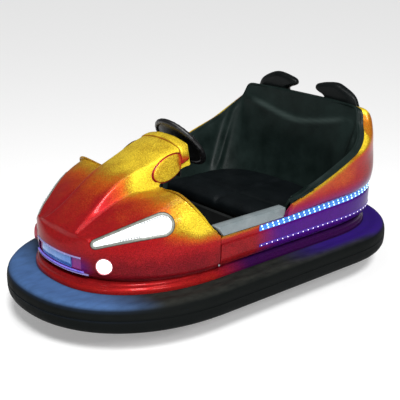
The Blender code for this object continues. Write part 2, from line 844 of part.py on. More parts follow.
def build_bench():
    """The box under the seat, open below, with a top that carries the seat shell and the cushion."""
    half = BENCH_HALF - 0.045
    back = BACK_Y - 0.215
    low = RAIL_Z[1] + FLOOR_WALL + 2 * GAP
    under = BENCH_Z - BENCH_WALL
    top = [seat_outline(BENCH_FRONT, -SEAT_WALL, z) for z in (under, BENCH_Z)]
    bench = loft("bench_panel", top, PLASTIC)
    body = box("body", (-half, BENCH_FRONT, low), (half, back, BENCH_Z - 0.001), PLASTIC,
               collection=CUTTERS)
    boolean(bench, body, "UNION")
    hollow = box(
        "hollow",
        (-half + BENCH_WALL, BENCH_FRONT + BENCH_WALL, 0.0),
        (half - BENCH_WALL, TAIL, under),
        None,
        collection=CUTTERS,
    )
    boolean(bench, hollow)
    sections = []
    for z, inset in ((BENCH_Z + GAP, 0.016), (BENCH_Z + 0.020, 0.008),
                     (BENCH_Z + CUSHION_HEIGHT - 0.020, 0.010), (BENCH_Z + CUSHION_HEIGHT, 0.030)):
        sections.append(seat_outline(BENCH_FRONT + inset, inset, z))
    smooth(loft("seat_cushion", sections, VINYL))


def horn_outline():
    """A fin that curls in over the seat back: inner foot, hooked tip, crest and outer foot."""
    top = BACK_TOP + HORN_RISE
    foot = BACK_TOP + 0.0012
    return through(
        [
            (HORN_INNER, foot),
            (HORN_INNER - 0.004, foot + 0.022),
            (HORN_TIP + 0.018, top - 0.058),
            (HORN_TIP, top - 0.040),
            (HORN_TIP + 0.022, top - 0.016),
            (HORN_INNER + 0.060, top),
            (HORN_OUTER - 0.100, top - 0.012),
            (HORN_OUTER - 0.030, top - 0.050),
            (HORN_OUTER, foot),
        ],
        25,
    )


def build_horns():
    outline = horn_outline()
    middle = BACK_Y + 0.016 + HORN_DEPTH / 2
    for side, flip in (("left", 1), ("right", -1)):
        sections = []
        for depth, inset in ((-0.5, 0.010), (-0.32, 0.0), (0.32, 0.0), (0.5, 0.010)):
            centre = outline.mean(axis=0)
            shape = outline + (centre - outline) * (inset / 0.08)
            shape[0, 1] = shape[-1, 1] = outline[0, 1]
            sections.append([
                (flip * x, middle + HORN_DEPTH * depth, z) for x, z in shape
            ])
        made = loft(f"head_horn_{side}", sections, VINYL)
        smooth(made, 50)


# ---------------------------------------------------------------- lamps and nose trim
def tapered_outline(small, small_radius, big, big_radius, inset=0.0, count=14):
    """Two round ends joined by straight sides, in a plane: a lamp's outline."""
    small, big = np.array(small), np.array(big)
    line = big - small
    distance = np.linalg.norm(line)
    heading = math.atan2(line[1], line[0])
    lean = math.acos((small_radius - big_radius) / distance)
    back = np.linspace(heading + lean, heading + 2 * math.pi - lean, count)
    front = np.linspace(heading - lean, heading + lean, count)
    r1, r2 = small_radius - inset, big_radius - inset
    around_small = small + r1 * np.stack([np.cos(back), np.sin(back)], -1)
    around_big = big + r2 * np.stack([np.cos(front), np.sin(front)], -1)
    return np.vstack([around_small, around_big])


def prism(name, outline, centre, direction, depth, flip=1):
    """A cutter with a flat outline swept along a direction, centred on a point."""
    centre, direction = Vector(centre), Vector(direction).normalized()
    side = direction.cross(Vector((0, 0, 1))).normalized()
    above = side.cross(direction)
    sections = []
    for step in (-depth, depth):
        section = [centre + direction * step + side * a + above * b for a, b in outline]
        sections.append([(flip * point.x, point.y, point.z) for point in section])
    return loft(name, sections, None, CUTTERS)


def local(point, centre, direction):
    """Coordinates of a point in the plane that a prism's outline is drawn in."""
    centre, direction = Vector(centre), Vector(direction).normalized()
    side = direction.cross(Vector((0, 0, 1))).normalized()
    above = side.cross(direction)
    offset = Vector(point) - centre
    return offset.dot(side), offset.dot(above)


def inlay(name, cutter, proud, depth, finish):
    """A piece let into the front shell: what the cutter takes of a thicker copy of the shell."""
    points, faces = front_surface()
    made = skin(name, points, faces, depth, finish, NOSE_OUT, proud=proud)
    bpy.context.view_layer.update()
    baked(made)
    boolean(made, cutter, "INTERSECT")
    largest_only(made)
    return made


def largest_only(made):
    """Drops what a cut leaves on the far side of the body."""
    shape = bmesh.new()
    shape.from_mesh(made.data)
    shape.verts.ensure_lookup_table()
    seen, groups = set(), []
    for start in shape.verts:
        if start in seen:
            continue
        stack, group = [start], []
        seen.add(start)
        while stack:
            vertex = stack.pop()
            group.append(vertex)
            for edge in vertex.link_edges:
                other = edge.other_vert(vertex)
                if other not in seen:
                    seen.add(other)
                    stack.append(other)
        groups.append(group)
    groups.sort(key=len)
    for group in groups[:-1]:
        bmesh.ops.delete(shape, geom=group, context="VERTS")
    shape.to_mesh(made.data)
    shape.free()


LAMP_CENTRE = (HALF - 0.203, NOSE + 0.305, 0.505)
LAMP_AIM = (0.72, -0.52, 0.45)
LAMP_TIP = (HALF - 0.283, NOSE + 0.177, 0.470)
LAMP_REAR = (HALF - 0.153, NOSE + 0.415, 0.530)
LAMP_TIP_RADIUS = 0.022
LAMP_REAR_RADIUS = 0.052
LAMP_FRAME = 0.009
FOG_CENTRE = (HALF - 0.290, NOSE + 0.222, 0.352)
FOG_AIM = (0.70, -0.71, 0.0)
FOG_RADIUS = 0.042
GRILLE_HALF = 0.165
GRILLE_Z = (0.316, 0.366)


def ellipse(radius_x, radius_y, count=24):
    angle = np.linspace(0, 2 * math.pi, count, endpoint=False)
    return np.stack([radius_x * np.cos(angle), radius_y * np.sin(angle)], -1)


def rectangle(low_x, low_y, high_x, high_y):
    return np.array([(low_x, low_y), (high_x, low_y), (high_x, high_y), (low_x, high_y)])


def build_lamps():
    shell = PARTS.objects["front_body_shell"]
    tip = local(LAMP_TIP, LAMP_CENTRE, LAMP_AIM)
    rear = local(LAMP_REAR, LAMP_CENTRE, LAMP_AIM)

    def outline(inset):
        return tapered_outline(tip, LAMP_TIP_RADIUS, rear, LAMP_REAR_RADIUS, inset)

    for side, flip in (("left", 1), ("right", -1)):
        def lamp_prism(inset, flip=flip):
            return prism("cut", outline(inset), LAMP_CENTRE, LAMP_AIM, 0.09, flip)

        boolean(shell, lamp_prism(0.0))
        frame = inlay(f"headlight_frame_{side}", lamp_prism(GAP), 0.003, SHELL_WALL, CHROME)
        boolean(frame, lamp_prism(LAMP_FRAME))
        inlay(f"headlight_lens_{side}", lamp_prism(LAMP_FRAME + GAP), 0.002, SHELL_WALL, LENS)

        def fog_prism(inset, flip=flip):
            radius = FOG_RADIUS - inset
            return prism("cut", ellipse(radius, radius), FOG_CENTRE, FOG_AIM, 0.06, flip)

        boolean(shell, fog_prism(0.0))
        inlay(f"fog_lamp_{side}", fog_prism(GAP), 0.003, 0.010, LENS)


def build_grille():
    shell = PARTS.objects["front_body_shell"]
    centre = (0.0, SHELL_NOSE, 0.0)
    aim = (0.0, -1.0, 0.0)

    def slot(low_z, high_z, half, inset):
        shape = rectangle(-half + inset, low_z + inset, half - inset, high_z - inset)
        return prism("cut", shape, centre, aim, 0.08)

    low, high = GRILLE_Z
    boolean(shell, slot(low, high, GRILLE_HALF, 0.0))
    inlay("grille_panel", slot(low, high, GRILLE_HALF, GAP), -0.002, 0.006, BLUE)


# ---------------------------------------------------------------- steering
COLUMN_AXIS = Vector((0.0, math.cos(COLUMN_SLOPE), math.sin(COLUMN_SLOPE)))


def build_steering():
    turn = COLUMN_AXIS.to_track_quat("Z", "Y").to_matrix().to_4x4()
    bpy.ops.mesh.primitive_torus_add(
        major_radius=WHEEL_RADIUS - WHEEL_TUBE,
        minor_radius=WHEEL_TUBE,
        major_segments=36,
        minor_segments=8,
    )
    wheel = bpy.context.object
    wheel.name = "steering_wheel"
    for collection in list(wheel.users_collection):
        collection.objects.unlink(wheel)
    PARTS.objects.link(wheel)
    wheel.data.name = "steering_wheel"
    wheel.data.materials.append(PLASTIC)
    wheel.data.transform(Matrix.Translation(WHEEL_HUB) @ turn)
    hub = rod("hub", WHEEL_HUB - COLUMN_AXIS * 0.030, WHEEL_HUB + COLUMN_AXIS * 0.012, 0.036,
              PLASTIC, collection=CUTTERS)
    boolean(wheel, hub, "UNION")
    shaft_end = gearbox_face() - COLUMN_AXIS * 0.020
    shaft = rod("shaft", WHEEL_HUB - COLUMN_AXIS * 0.020, shaft_end, SHAFT_RADIUS, STEEL,
                sides=16, collection=CUTTERS)
    boolean(wheel, shaft, "UNION")
    for spoke in range(3):
        angle = math.radians(90 + 120 * spoke)
        out = turn.to_3x3() @ Vector((math.cos(angle), math.sin(angle), 0))
        across = COLUMN_AXIS.cross(out)
        sections = []
        for reach, half in ((0.020, 0.020), (WHEEL_RADIUS - WHEEL_TUBE, 0.014)):
            middle = WHEEL_HUB + out * reach
            sections.append([
                middle + across * half + COLUMN_AXIS * 0.005,
                middle - across * half + COLUMN_AXIS * 0.005,
                middle - across * half - COLUMN_AXIS * 0.005,
                middle + across * half - COLUMN_AXIS * 0.005,
            ])
        spoke_piece = loft("spoke", sections, PLASTIC, CUTTERS)
        boolean(wheel, spoke_piece, "UNION")
    smooth(wheel)
    centred(wheel, WHEEL_HUB)

    start = WHEEL_HUB - COLUMN_AXIS * 0.060
    column = rod("steering_column", start, gearbox_face() + COLUMN_AXIS * GAP, COLUMN_RADIUS, STEEL)
    bore = rod("bore", start + COLUMN_AXIS, gearbox_face() - COLUMN_AXIS, SHAFT_RADIUS + RUNNING_GAP,
               None, collection=CUTTERS)
    boolean(column, bore)


def gearbox_face():
    """Where the column meets the gearbox on top of the turret."""
    reach = (WHEEL_HUB.y - TURRET_Y) / COLUMN_AXIS.y
    return WHEEL_HUB - COLUMN_AXIS * (reach - 0.080)


def build_gearbox():
    axis = WHEEL_HUB - COLUMN_AXIS * ((WHEEL_HUB.y - TURRET_Y) / COLUMN_AXIS.y)
    body = rod("steering_gearbox", (0, TURRET_Y, BRIDGE_Z[1] + GAP), (0, TURRET_Y, axis.z + 0.030),
               0.050, STEEL)
    neck = rod("neck", axis, gearbox_face(), 0.032, STEEL, collection=CUTTERS)
    boolean(body, neck, "UNION")
    bore = rod("bore", axis + COLUMN_AXIS * 0.052, gearbox_face() + COLUMN_AXIS * 0.01,
               bearing(SHAFT_RADIUS), None, collection=CUTTERS)
    boolean(body, bore)
    recess = rod("recess", (0, TURRET_Y, BRIDGE_Z[1] - 0.02), (0, TURRET_Y, BRIDGE_Z[1] + 0.024),
                 PIN_BORE, None, collection=CUTTERS)
    boolean(body, recess)


def build_dash():
    """The dark panel that closes the hood's rear end round the column, and the toe board."""
    y = HOOD_END - 0.030
    inner = SHELL_WALL + 0.010
    half = float(ridge_x(y)) - inner
    top = float(spine_z(y)) - inner
    shoulder = float(ridge_z(y)) - inner
    low = float(foot_z(y)) - 0.045
    shape = [(-half, low), (half, low), (half, shoulder - 0.012), (half * 0.6, top - 0.010),
             (-half * 0.6, top - 0.010), (-half, shoulder - 0.012)]
    made = loft("dash_panel", [[(x, y + step, z) for x, z in shape] for step in (0.0, 0.008)], PLASTIC)
    hole = rod("hole", WHEEL_HUB, gearbox_face(), COLUMN_RADIUS + GAP, None, collection=CUTTERS)
    boolean(made, hole)


# ---------------------------------------------------------------- chassis
def build_chassis():
    frame = box(
        "chassis_frame",
        (RAIL_X - RAIL_WIDTH / 2, NOSE + 0.27, RAIL_Z[0]),
        (RAIL_X + RAIL_WIDTH / 2, TAIL - 0.20, RAIL_Z[1]),
        STEEL,
    )
    other = box(
        "rail",
        (-RAIL_X - RAIL_WIDTH / 2, NOSE + 0.27, RAIL_Z[0]),
        (-RAIL_X + RAIL_WIDTH / 2, TAIL - 0.20, RAIL_Z[1]),
        STEEL,
        collection=CUTTERS,
    )
    low, high = RAIL_Z[0] + BAR_INSET, RAIL_Z[1] - BAR_INSET
    y = NOSE + 0.262
    reach = rim_reach(y - BAR_HALF) - GAP
    bar = box("front_bar", (-reach, y - BAR_HALF, low), (reach, y + BAR_HALF, high), STEEL,
              collection=CUTTERS)
    boolean(frame, bar, "UNION")
    boolean(frame, other, "UNION")
    for place, y, half in (("dash", SEAM_Y + 0.035, None), ("bench", BENCH_FRONT + 0.02, None),
                           ("axle", TAIL - 0.50, 0.30), ("tail", TAIL - 0.215, RAIL_X)):
        reach = half or min(rim_reach(y - BAR_HALF), rim_reach(y + BAR_HALF)) - GAP
        box(f"crossbar_{place}", (-reach, y - BAR_HALF, low), (reach, y + BAR_HALF, high), STEEL)
        wide = reach + GAP
        deep = BAR_HALF + GAP
        notch = box("notch", (-wide, y - deep, low - GAP), (wide, y + deep, high + GAP), None,
                    collection=CUTTERS)
        boolean(frame, notch)
    near = REAR_WHEEL_X - REAR_WIDTH / 2 - RUNNING_GAP
    for flip in (1, -1):
        for inner, low in ((near - 0.010, REAR_RADIUS - 0.025), (RAIL_X - 0.010, RAIL_Z[0] - 0.010)):
            low_x, high_x = sorted((flip * inner, flip * near))
            hanger = box("hanger", (low_x, AXLE_Y - 0.030, low),
                         (high_x, AXLE_Y + 0.030, RAIL_Z[0] + 0.006), STEEL, collection=CUTTERS)
            boolean(frame, hanger, "UNION")
        pierce = rod("pierce", (flip * (near - 0.05), AXLE_Y, REAR_RADIUS),
                     (flip * (near + 0.05), AXLE_Y, REAR_RADIUS),
                     bearing(AXLE_RADIUS), None, collection=CUTTERS)
        boolean(frame, pierce)


def rim_reach(y):
    """Half the space inside the steel rim at a place along the car."""
    edge = BASE.inset(RIM_WALL + GAP)
    around = np.vstack([edge.nose_points(np.linspace(0, 1, 60)), edge.tail_points(np.linspace(0, 1, 60))])
    return float(np.interp(y, around[:, 1], around[:, 0]))


def build_floor():
    low = RAIL_Z[1] + GAP
    outline = []
    for y in (SEAM_Y - 0.06, FLOOR_BACK):
        outline.append((rim_reach(y) - 0.012, y))
    front, back = outline
    shape = [(-front[0], front[1]), (front[0], front[1]), (back[0], back[1]), (-back[0], back[1])]
    sections = [[(x, y, z) for x, y in shape] for z in (low, low + FLOOR_WALL)]
    loft("floor_plate", sections, STEEL)
    top = low + FLOOR_WALL + GAP
    half = BASE.half - BASE_WIDTH - 0.022
    box("floor_mat", (-half, SEAM_Y - 0.05, top), (half, BENCH_FRONT - 0.01, top + 0.006), RUBBER)
    front = SEAM_Y - 0.052
    sections = []
    for z, wide, y in ((top, half - 0.004, front), (0.300, half - 0.004, front - 0.035),
                       (TOE_TOP, half - 0.030, front - 0.080)):
        sections.append([(-wide, y - TOE_WALL, z), (wide, y - TOE_WALL, z), (wide, y, z), (-wide, y, z)])
    board = loft("toe_board", sections, PLASTIC)
    slot = rod("slot", WHEEL_HUB, gearbox_face() - COLUMN_AXIS * 0.05, 0.050, None, collection=CUTTERS)
    boolean(board, slot)
    heel, tip, rise = SEAM_Y + 0.100, SEAM_Y - 0.028, top + 0.072
    side = [(heel, top + 0.0064), (heel - 0.016, top + 0.0064), (tip, rise), (tip + 0.008, rise + 0.008)]
    loft("accelerator_pedal", [[(x, y, z) for y, z in side] for x in (0.100, 0.170)], RUBBER)
    x = BASE.half - BASE_WIDTH - 0.010
    for side, flip in (("left", 1), ("right", -1)):
        sections = []
        for z, lean in ((top, -0.004), (BASE_TOP + 0.008, 0.0), (SILL_Z + GAP, 0.028)):
            near, far = flip * (x + lean), flip * (x + lean - LINER_WALL)
            sections.append([(near, SEAM_Y - 0.04, z), (far, SEAM_Y - 0.04, z),
                             (far, BENCH_FRONT - 0.004, z), (near, BENCH_FRONT - 0.004, z)])
        loft(f"side_liner_{side}", sections, VINYL)


def build_battery():
    box(
        "battery_block",
        (-BATTERY_HALF, BENCH_FRONT + 0.045, RAIL_Z[1] + FLOOR_WALL + 2 * GAP),
        (BATTERY_HALF, FLOOR_BACK - 0.004, BENCH_Z - BATTERY_ROOM),
        CASE,
        bevel=0.008,
    )


def build_turret():
    bridge_low, bridge_high = BRIDGE_Z
    inner = RAIL_X - RAIL_WIDTH / 2 + 0.004
    outer = RAIL_X + RAIL_WIDTH / 2 - 0.004
    front, back = TURRET_Y - BRIDGE_DEPTH, TURRET_Y + BRIDGE_DEPTH
    bridge = box("turret_bridge", (-outer, front, bridge_low), (outer, back, bridge_high), STEEL)
    for flip in (1, -1):
        low_x, high_x = sorted((flip * inner, flip * outer))
        leg = box("leg", (low_x, front, RAIL_Z[1] + GAP), (high_x, back, bridge_high - 0.001),
                  STEEL, collection=CUTTERS)
        boolean(bridge, leg, "UNION")
    hole = rod("hole", (0, TURRET_Y, bridge_low - 0.1), (0, TURRET_Y, bridge_high + 0.1),
               PIN_BORE, None, collection=CUTTERS)
    boolean(bridge, hole)

    plate_top = bridge_low - BEARING_GAP
    turret = rod("drive_turret", (0, TURRET_Y, plate_top - 0.008), (0, TURRET_Y, plate_top),
                 TURNTABLE_RADIUS, STEEL, sides=32)
    pin = rod("pin", (0, TURRET_Y, plate_top - 0.004), (0, TURRET_Y, bridge_high + 0.012), PIN_RADIUS,
              STEEL, sides=20, collection=CUTTERS)
    boolean(turret, pin, "UNION")
    gap = DRIVE_WIDTH / 2 + RUNNING_GAP
    for flip in (1, -1):
        low_x, high_x = sorted((flip * gap, flip * (gap + CHEEK_WALL)))
        cheek = box("cheek", (low_x, TURRET_Y - 0.035, DRIVE_RADIUS - 0.030),
                    (high_x, TURRET_Y + 0.035, plate_top - 0.004), STEEL, collection=CUTTERS)
        boolean(turret, cheek, "UNION")
    pierce = rod("pierce", (-0.2, TURRET_Y, DRIVE_RADIUS), (0.2, TURRET_Y, DRIVE_RADIUS),
                 bearing(AXLE_RADIUS), None, collection=CUTTERS)
    boolean(turret, pierce)
    centred(turret, (0, TURRET_Y, DRIVE_RADIUS))

    near = gap + CHEEK_WALL
    motor = rod("drive_motor", (near + GAP, TURRET_Y, DRIVE_RADIUS + MOTOR_LIFT),
                (near + MOTOR_LENGTH, TURRET_Y, DRIVE_RADIUS + MOTOR_LIFT), MOTOR_RADIUS, CASE, sides=24)
    well = rod("well", (0, TURRET_Y, DRIVE_RADIUS), (gap + 0.022, TURRET_Y, DRIVE_RADIUS),
               AXLE_RADIUS + RUNNING_GAP, None, sides=16, collection=CUTTERS)
    boolean(motor, well)
    centred(motor, (0, TURRET_Y, DRIVE_RADIUS))


def build_wheel(name, x, y, radius, width, inner_end, outer_end):
    """A solid rubber tyre on a hub with its axle: two nodes, made round the wheel's axis."""
    profile = [
        (radius * HUB_SHARE, width / 2), (radius - 0.008, width / 2), (radius, width / 2 - 0.009),
        (radius, -width / 2 + 0.009), (radius - 0.008, -width / 2), (radius * HUB_SHARE, -width / 2),
    ]
    angle = np.linspace(0, 2 * math.pi, 36, endpoint=False)
    loops = []
    for reach, across in profile:
        loops.append(np.column_stack([
            np.full(len(angle), x + across), y + reach * np.cos(angle), radius + reach * np.sin(angle)]))
    tyre = ring(f"{name}_tyre", loops, TYRE)
    centred(tyre, (x, y, radius))
    centre = (x, y, radius)
    hub = rod(f"{name}_hub", (x - width * 0.38, y, radius), (x + width * 0.38, y, radius),
              radius * HUB_SHARE - GAP, STEEL, sides=36)
    axle = rod("axle", (inner_end, y, radius), (outer_end, y, radius), AXLE_RADIUS, STEEL,
               sides=16, collection=CUTTERS)
    boolean(hub, axle, "UNION")
    centred(hub, centre)


def build_wheels():
    reach = DRIVE_WIDTH / 2 + RUNNING_GAP + 0.014
    build_wheel("drive_wheel", 0.0, TURRET_Y, DRIVE_RADIUS, DRIVE_WIDTH, -reach, reach)
    for side, flip in (("left", 1), ("right", -1)):
        x = flip * REAR_WHEEL_X
        inner = flip * (REAR_WHEEL_X - REAR_WIDTH / 2 - RUNNING_GAP - 0.014)
        build_wheel(f"rear_wheel_{side}", x, AXLE_Y, REAR_RADIUS, REAR_WIDTH, inner, x)


build_bumper()
build_rim()
build_base_ring()
build_front_shell()
build_rear_shell()
build_strips()
build_sill_pads()
build_seat()
build_horns()
build_lamps()
build_grille()
build_steering()
build_gearbox()
build_dash()
build_chassis()
build_floor()
build_battery()
build_turret()
build_wheels()
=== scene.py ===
import logging
import math
from dataclasses import dataclass, field
from enum import Enum
from typing import Callable, Sequence

import bmesh
import bpy
import numpy as np
from bpy.types import Material, Node, NodeSocket, Object
from mathutils import Euler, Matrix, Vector


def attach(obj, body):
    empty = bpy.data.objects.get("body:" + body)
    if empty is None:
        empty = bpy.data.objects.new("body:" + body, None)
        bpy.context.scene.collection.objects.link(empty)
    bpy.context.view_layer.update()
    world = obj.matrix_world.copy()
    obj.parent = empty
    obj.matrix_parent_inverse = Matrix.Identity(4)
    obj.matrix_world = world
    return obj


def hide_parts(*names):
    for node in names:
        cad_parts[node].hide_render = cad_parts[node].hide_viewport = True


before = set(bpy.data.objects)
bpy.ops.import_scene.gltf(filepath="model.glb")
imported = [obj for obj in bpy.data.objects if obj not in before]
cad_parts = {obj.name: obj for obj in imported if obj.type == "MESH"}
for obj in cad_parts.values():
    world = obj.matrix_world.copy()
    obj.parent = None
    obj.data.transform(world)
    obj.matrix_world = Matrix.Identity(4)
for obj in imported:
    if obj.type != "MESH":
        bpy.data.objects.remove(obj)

LOG = logging.getLogger("bumper_car")
BODY, WHEEL = "car_body", "steering_wheel"
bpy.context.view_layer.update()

Array = np.ndarray
Triple = tuple[float, float, float]
Pair = tuple[float, float]


class Slot(Enum):
    """The record's material slots."""

    RUBBER = "bumper_rubber"
    STEEL = "steel_dark"
    RED = "body_red"
    GOLD = "body_gold"
    PLASTIC = "black_plastic"
    VINYL = "black_vinyl"
    PAD = "pad_grey"
    TRIM = "lamp_trim"
    GLASS = "lamp_glass"
    LED = "led_glow"
    GRILLE = "grille_blue"
    TYRE = "wheel_tyre"
    HUB = "wheel_metal"
    CASE = "battery_case"


class Side(Enum):
    """The two sides of the car, as the sign of X."""

    LEFT = 1
    RIGHT = -1

    @property
    def word(self) -> str:
        """The side's name in a piece's name."""
        return self.name.lower()

    @property
    def flip(self) -> Array:
        """What points of the left side are multiplied by to lie on this side."""
        return np.array((self.value, 1.0, 1.0))


# ---------------------------------------------------------------- curves and grids
def spline(points: Array, places: Array) -> Array:
    """Catmull-Rom curve through points along their first axis.

    Each value is the usual cubic blend of its four neighbours; the ends are continued straight.

    Args:
        points: Control values, first axis the point number.
        places: Point numbers, with fractions, at which to read the curve.

    Returns:
        The curve's values, one for each place.
    """
    known = np.asarray(points, float)
    padded = np.concatenate([2 * known[:1] - known[1:2], known, 2 * known[-1:] - known[-2:-1]])
    index = np.clip(np.asarray(places).astype(int), 0, len(known) - 2)
    share = (np.asarray(places) - index).reshape((-1,) + (1,) * (known.ndim - 1))
    before, here, after, beyond = (padded[index + step] for step in range(4))
    return 0.5 * (
        2 * here
        + (after - before) * share
        + (2 * before - 5 * here + 4 * after - beyond) * share**2
        + (3 * here - before - 3 * after + beyond) * share**3
    )


def dense(points: Array, each: int) -> Array:
    """Spline with each gap between points cut into equal steps.

    Args:
        points: Control values, first axis the point number.
        each: Steps in each gap.

    Returns:
        The finer values, with the control points among them.
    """
    return spline(points, np.linspace(0, len(points) - 1, (len(points) - 1) * each + 1))


def across(grid: Array, work: Callable[[Array], Array]) -> Array:
    """Applies a curve function along a grid's second axis."""
    return np.swapaxes(work(np.swapaxes(grid, 0, 1)), 0, 1)


def unit(vectors: Array) -> Array:
    """Vectors, along the last axis, at length one."""
    return np.asarray(vectors) / np.linalg.norm(vectors, axis=-1, keepdims=True)


def lengths(points: Array) -> Array:
    """Length of a polyline up to each of its points."""
    return np.concatenate([[0.0], np.cumsum(np.linalg.norm(np.diff(points, axis=0), axis=1))])


def turns(count: int) -> Array:
    """Angles at even steps round a full turn."""
    return np.linspace(0, 2 * math.pi, count, endpoint=False)


def evened(points: Array, count: int) -> Array:
    """Points at equal distances along a polyline.

    Args:
        points: The polyline.
        count: How many points to return, ends included.

    Returns:
        The points.
    """
    place = lengths(points)
    want = np.linspace(0, place[-1], count)
    return np.stack([np.interp(want, place, points[:, axis]) for axis in range(points.shape[1])], -1)


def smoothstep(low: float, high: float, value: Array) -> Array:
    """0 below low, 1 above high, and an even S between."""
    share = np.clip((np.asarray(value) - low) / (high - low), 0, 1)
    return share * share * (3 - 2 * share)


def bell(value: Array, width: float) -> Array:
    """A Gaussian bump of height 1 whose standard deviation is the width."""
    return np.exp(-0.5 * (np.asarray(value) / width) ** 2)


def quads(rows: int, columns: int, wrap_rows: bool = False, wrap_columns: bool = False) -> Array:
    """Quad indices over a grid numbered row by row.

    Args:
        rows: Points along the first axis.
        columns: Points along the second axis.
        wrap_rows: Joins the last row to the first.
        wrap_columns: Joins the last column to the first.

    Returns:
        One row of four indices for each quad.
    """
    number = np.arange(rows * columns).reshape(rows, columns)
    if wrap_rows:
        number = np.vstack([number, number[:1]])
    if wrap_columns:
        number = np.hstack([number, number[:, :1]])
    corners = (number[:-1, :-1], number[:-1, 1:], number[1:, 1:], number[1:, :-1])
    return np.stack(corners, -1).reshape(-1, 4)


def mesh_piece(name: str, points: Array, faces: Array, smooth: bool = True) -> Object:
    """A mesh object at the origin.

    Args:
        name: The piece's name.
        points: Vertices in metres.
        faces: Vertex indices, all faces with equally many corners.
        smooth: Whether it is shaded smooth.

    Returns:
        The new object.
    """
    mesh = bpy.data.meshes.new(name)
    mesh.from_pydata(np.asarray(points, float).reshape(-1, 3).tolist(), [], np.asarray(faces).tolist())
    mesh.update()
    if smooth:
        mesh.shade_smooth()
    made = bpy.data.objects.new(name, mesh)
    bpy.context.scene.collection.objects.link(made)
    return made


def level(points: Array, height: Array | float) -> Array:
    """Points (x, y) at a height, or each at its own."""
    return np.column_stack([points, np.broadcast_to(height, len(points))])


def sheet(name: str, grid: Array, wrap_rows: bool = False, wrap_columns: bool = False) -> Object:
    """A mesh object over a grid of points; the wraps are those of quads."""
    return mesh_piece(name, grid, quads(*grid.shape[:2], wrap_rows, wrap_columns))


def capped(made: Object, outward: bool = False) -> None:
    """Closes a mesh's open ends, and turns its faces outwards when asked."""
    shape = bmesh.new()
    shape.from_mesh(made.data)
    bmesh.ops.holes_fill(shape, edges=shape.edges)
    if outward:
        bmesh.ops.recalc_face_normals(shape, faces=shape.faces)
    shape.to_mesh(made.data)
    shape.free()


def joined_points(blocks: Sequence[tuple[Array, Array]]) -> tuple[Array, Array]:
    """Several (points, faces) blocks as one, with the face numbers moved on."""
    points, faces, first = [], [], 0
    for block, quad in blocks:
        flat = np.asarray(block).reshape(-1, 3)
        points.append(flat)
        faces.append(np.asarray(quad) + first)
        first += len(flat)
    return np.vstack(points), np.vstack(faces)


def shaded(made: Object, flat: float) -> Object:
    """Shades a piece smooth, with edges steeper than an angle in degrees kept sharp."""
    made.data.shade_smooth()
    made.data.set_sharp_from_angle(angle=math.radians(flat))
    return made


def tidy(made: Object, distance: float = 1e-5, flat: float = 40.0) -> Object:
    """Merges doubles, turns the faces outwards and keeps only steep edges sharp."""
    shape = bmesh.new()
    shape.from_mesh(made.data)
    bmesh.ops.remove_doubles(shape, verts=shape.verts, dist=distance)
    bmesh.ops.dissolve_degenerate(shape, edges=shape.edges, dist=distance)
    bmesh.ops.recalc_face_normals(shape, faces=shape.faces)
    shape.to_mesh(made.data)
    shape.free()
    return shaded(made, flat)


def bake(made: Object) -> Object:
    """Applies the object's modifiers to its mesh."""
    bpy.context.view_layer.update()
    graph = bpy.context.evaluated_depsgraph_get()
    mesh = bpy.data.meshes.new_from_object(made.evaluated_get(graph))
    made.modifiers.clear()
    made.data = mesh
    return made


def walled(made: Object, wall: float, towards: Sequence[float]) -> Object:
    """Gives an open surface its thickness.

    Args:
        made: The surface, its faces already turned one way.
        wall: Thickness in metres, laid on the side away from the outside.
        towards: A point that lies well outside the surface's first face.

    Returns:
        The same object, solid.
    """
    first = made.data.polygons[0]
    if first.normal.dot(Vector(towards) - first.center) < 0:
        made.data.flip_normals()
    solid = made.modifiers.new("wall", "SOLIDIFY")
    solid.thickness = wall
    solid.offset = -1.0
    return bake(made)


def cut(made: Object, cutter: Object) -> Object:
    """Takes the cutter out of a piece, at once, and removes the cutter."""
    step = made.modifiers.new("cut", "BOOLEAN")
    step.operation = "DIFFERENCE"
    step.object = cutter
    step.solver = "MANIFOLD"
    bake(made)
    bpy.data.objects.remove(cutter, do_unlink=True)
    return made


def points_of(made: Object) -> Array:
    """The places of a piece's vertices."""
    place = np.empty(len(made.data.vertices) * 3, np.float32)
    made.data.vertices.foreach_get("co", place)
    return place.reshape(-1, 3).astype(float)


def move_points(made: Object, points: Array) -> None:
    """Puts a piece's vertices at new places."""
    made.data.vertices.foreach_set("co", np.asarray(points, np.float32).ravel())
    made.data.update()


def attribute(made: Object, name: str, rule: Callable[[Array, Array], Array]) -> None:
    """Stores a number at each vertex, worked out from its place and normal.

    Args:
        made: The piece.
        name: The attribute that its material reads.
        rule: Takes vertex places and normals and returns one number for each.
    """
    normal = np.empty(len(made.data.vertices) * 3, np.float32)
    made.data.vertex_normals.foreach_get("vector", normal)
    values = rule(points_of(made), normal.reshape(-1, 3).astype(float))
    store = made.data.attributes.new(name, "FLOAT", "POINT")
    store.data.foreach_set("value", np.asarray(values, np.float32))


def place_piece(made: Object, finish: Material, slot: Slot, *nodes: str, body: str = BODY) -> None:
    """Gives a piece its finish, puts it on its body and hides the nodes it stands for."""
    made.data.materials.clear()
    made.data.materials.append(finish)
    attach(made, body)
    if nodes:
        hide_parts(*nodes)
    LOG.info("%s: %d faces on %s", made.name, len(made.data.polygons), body)


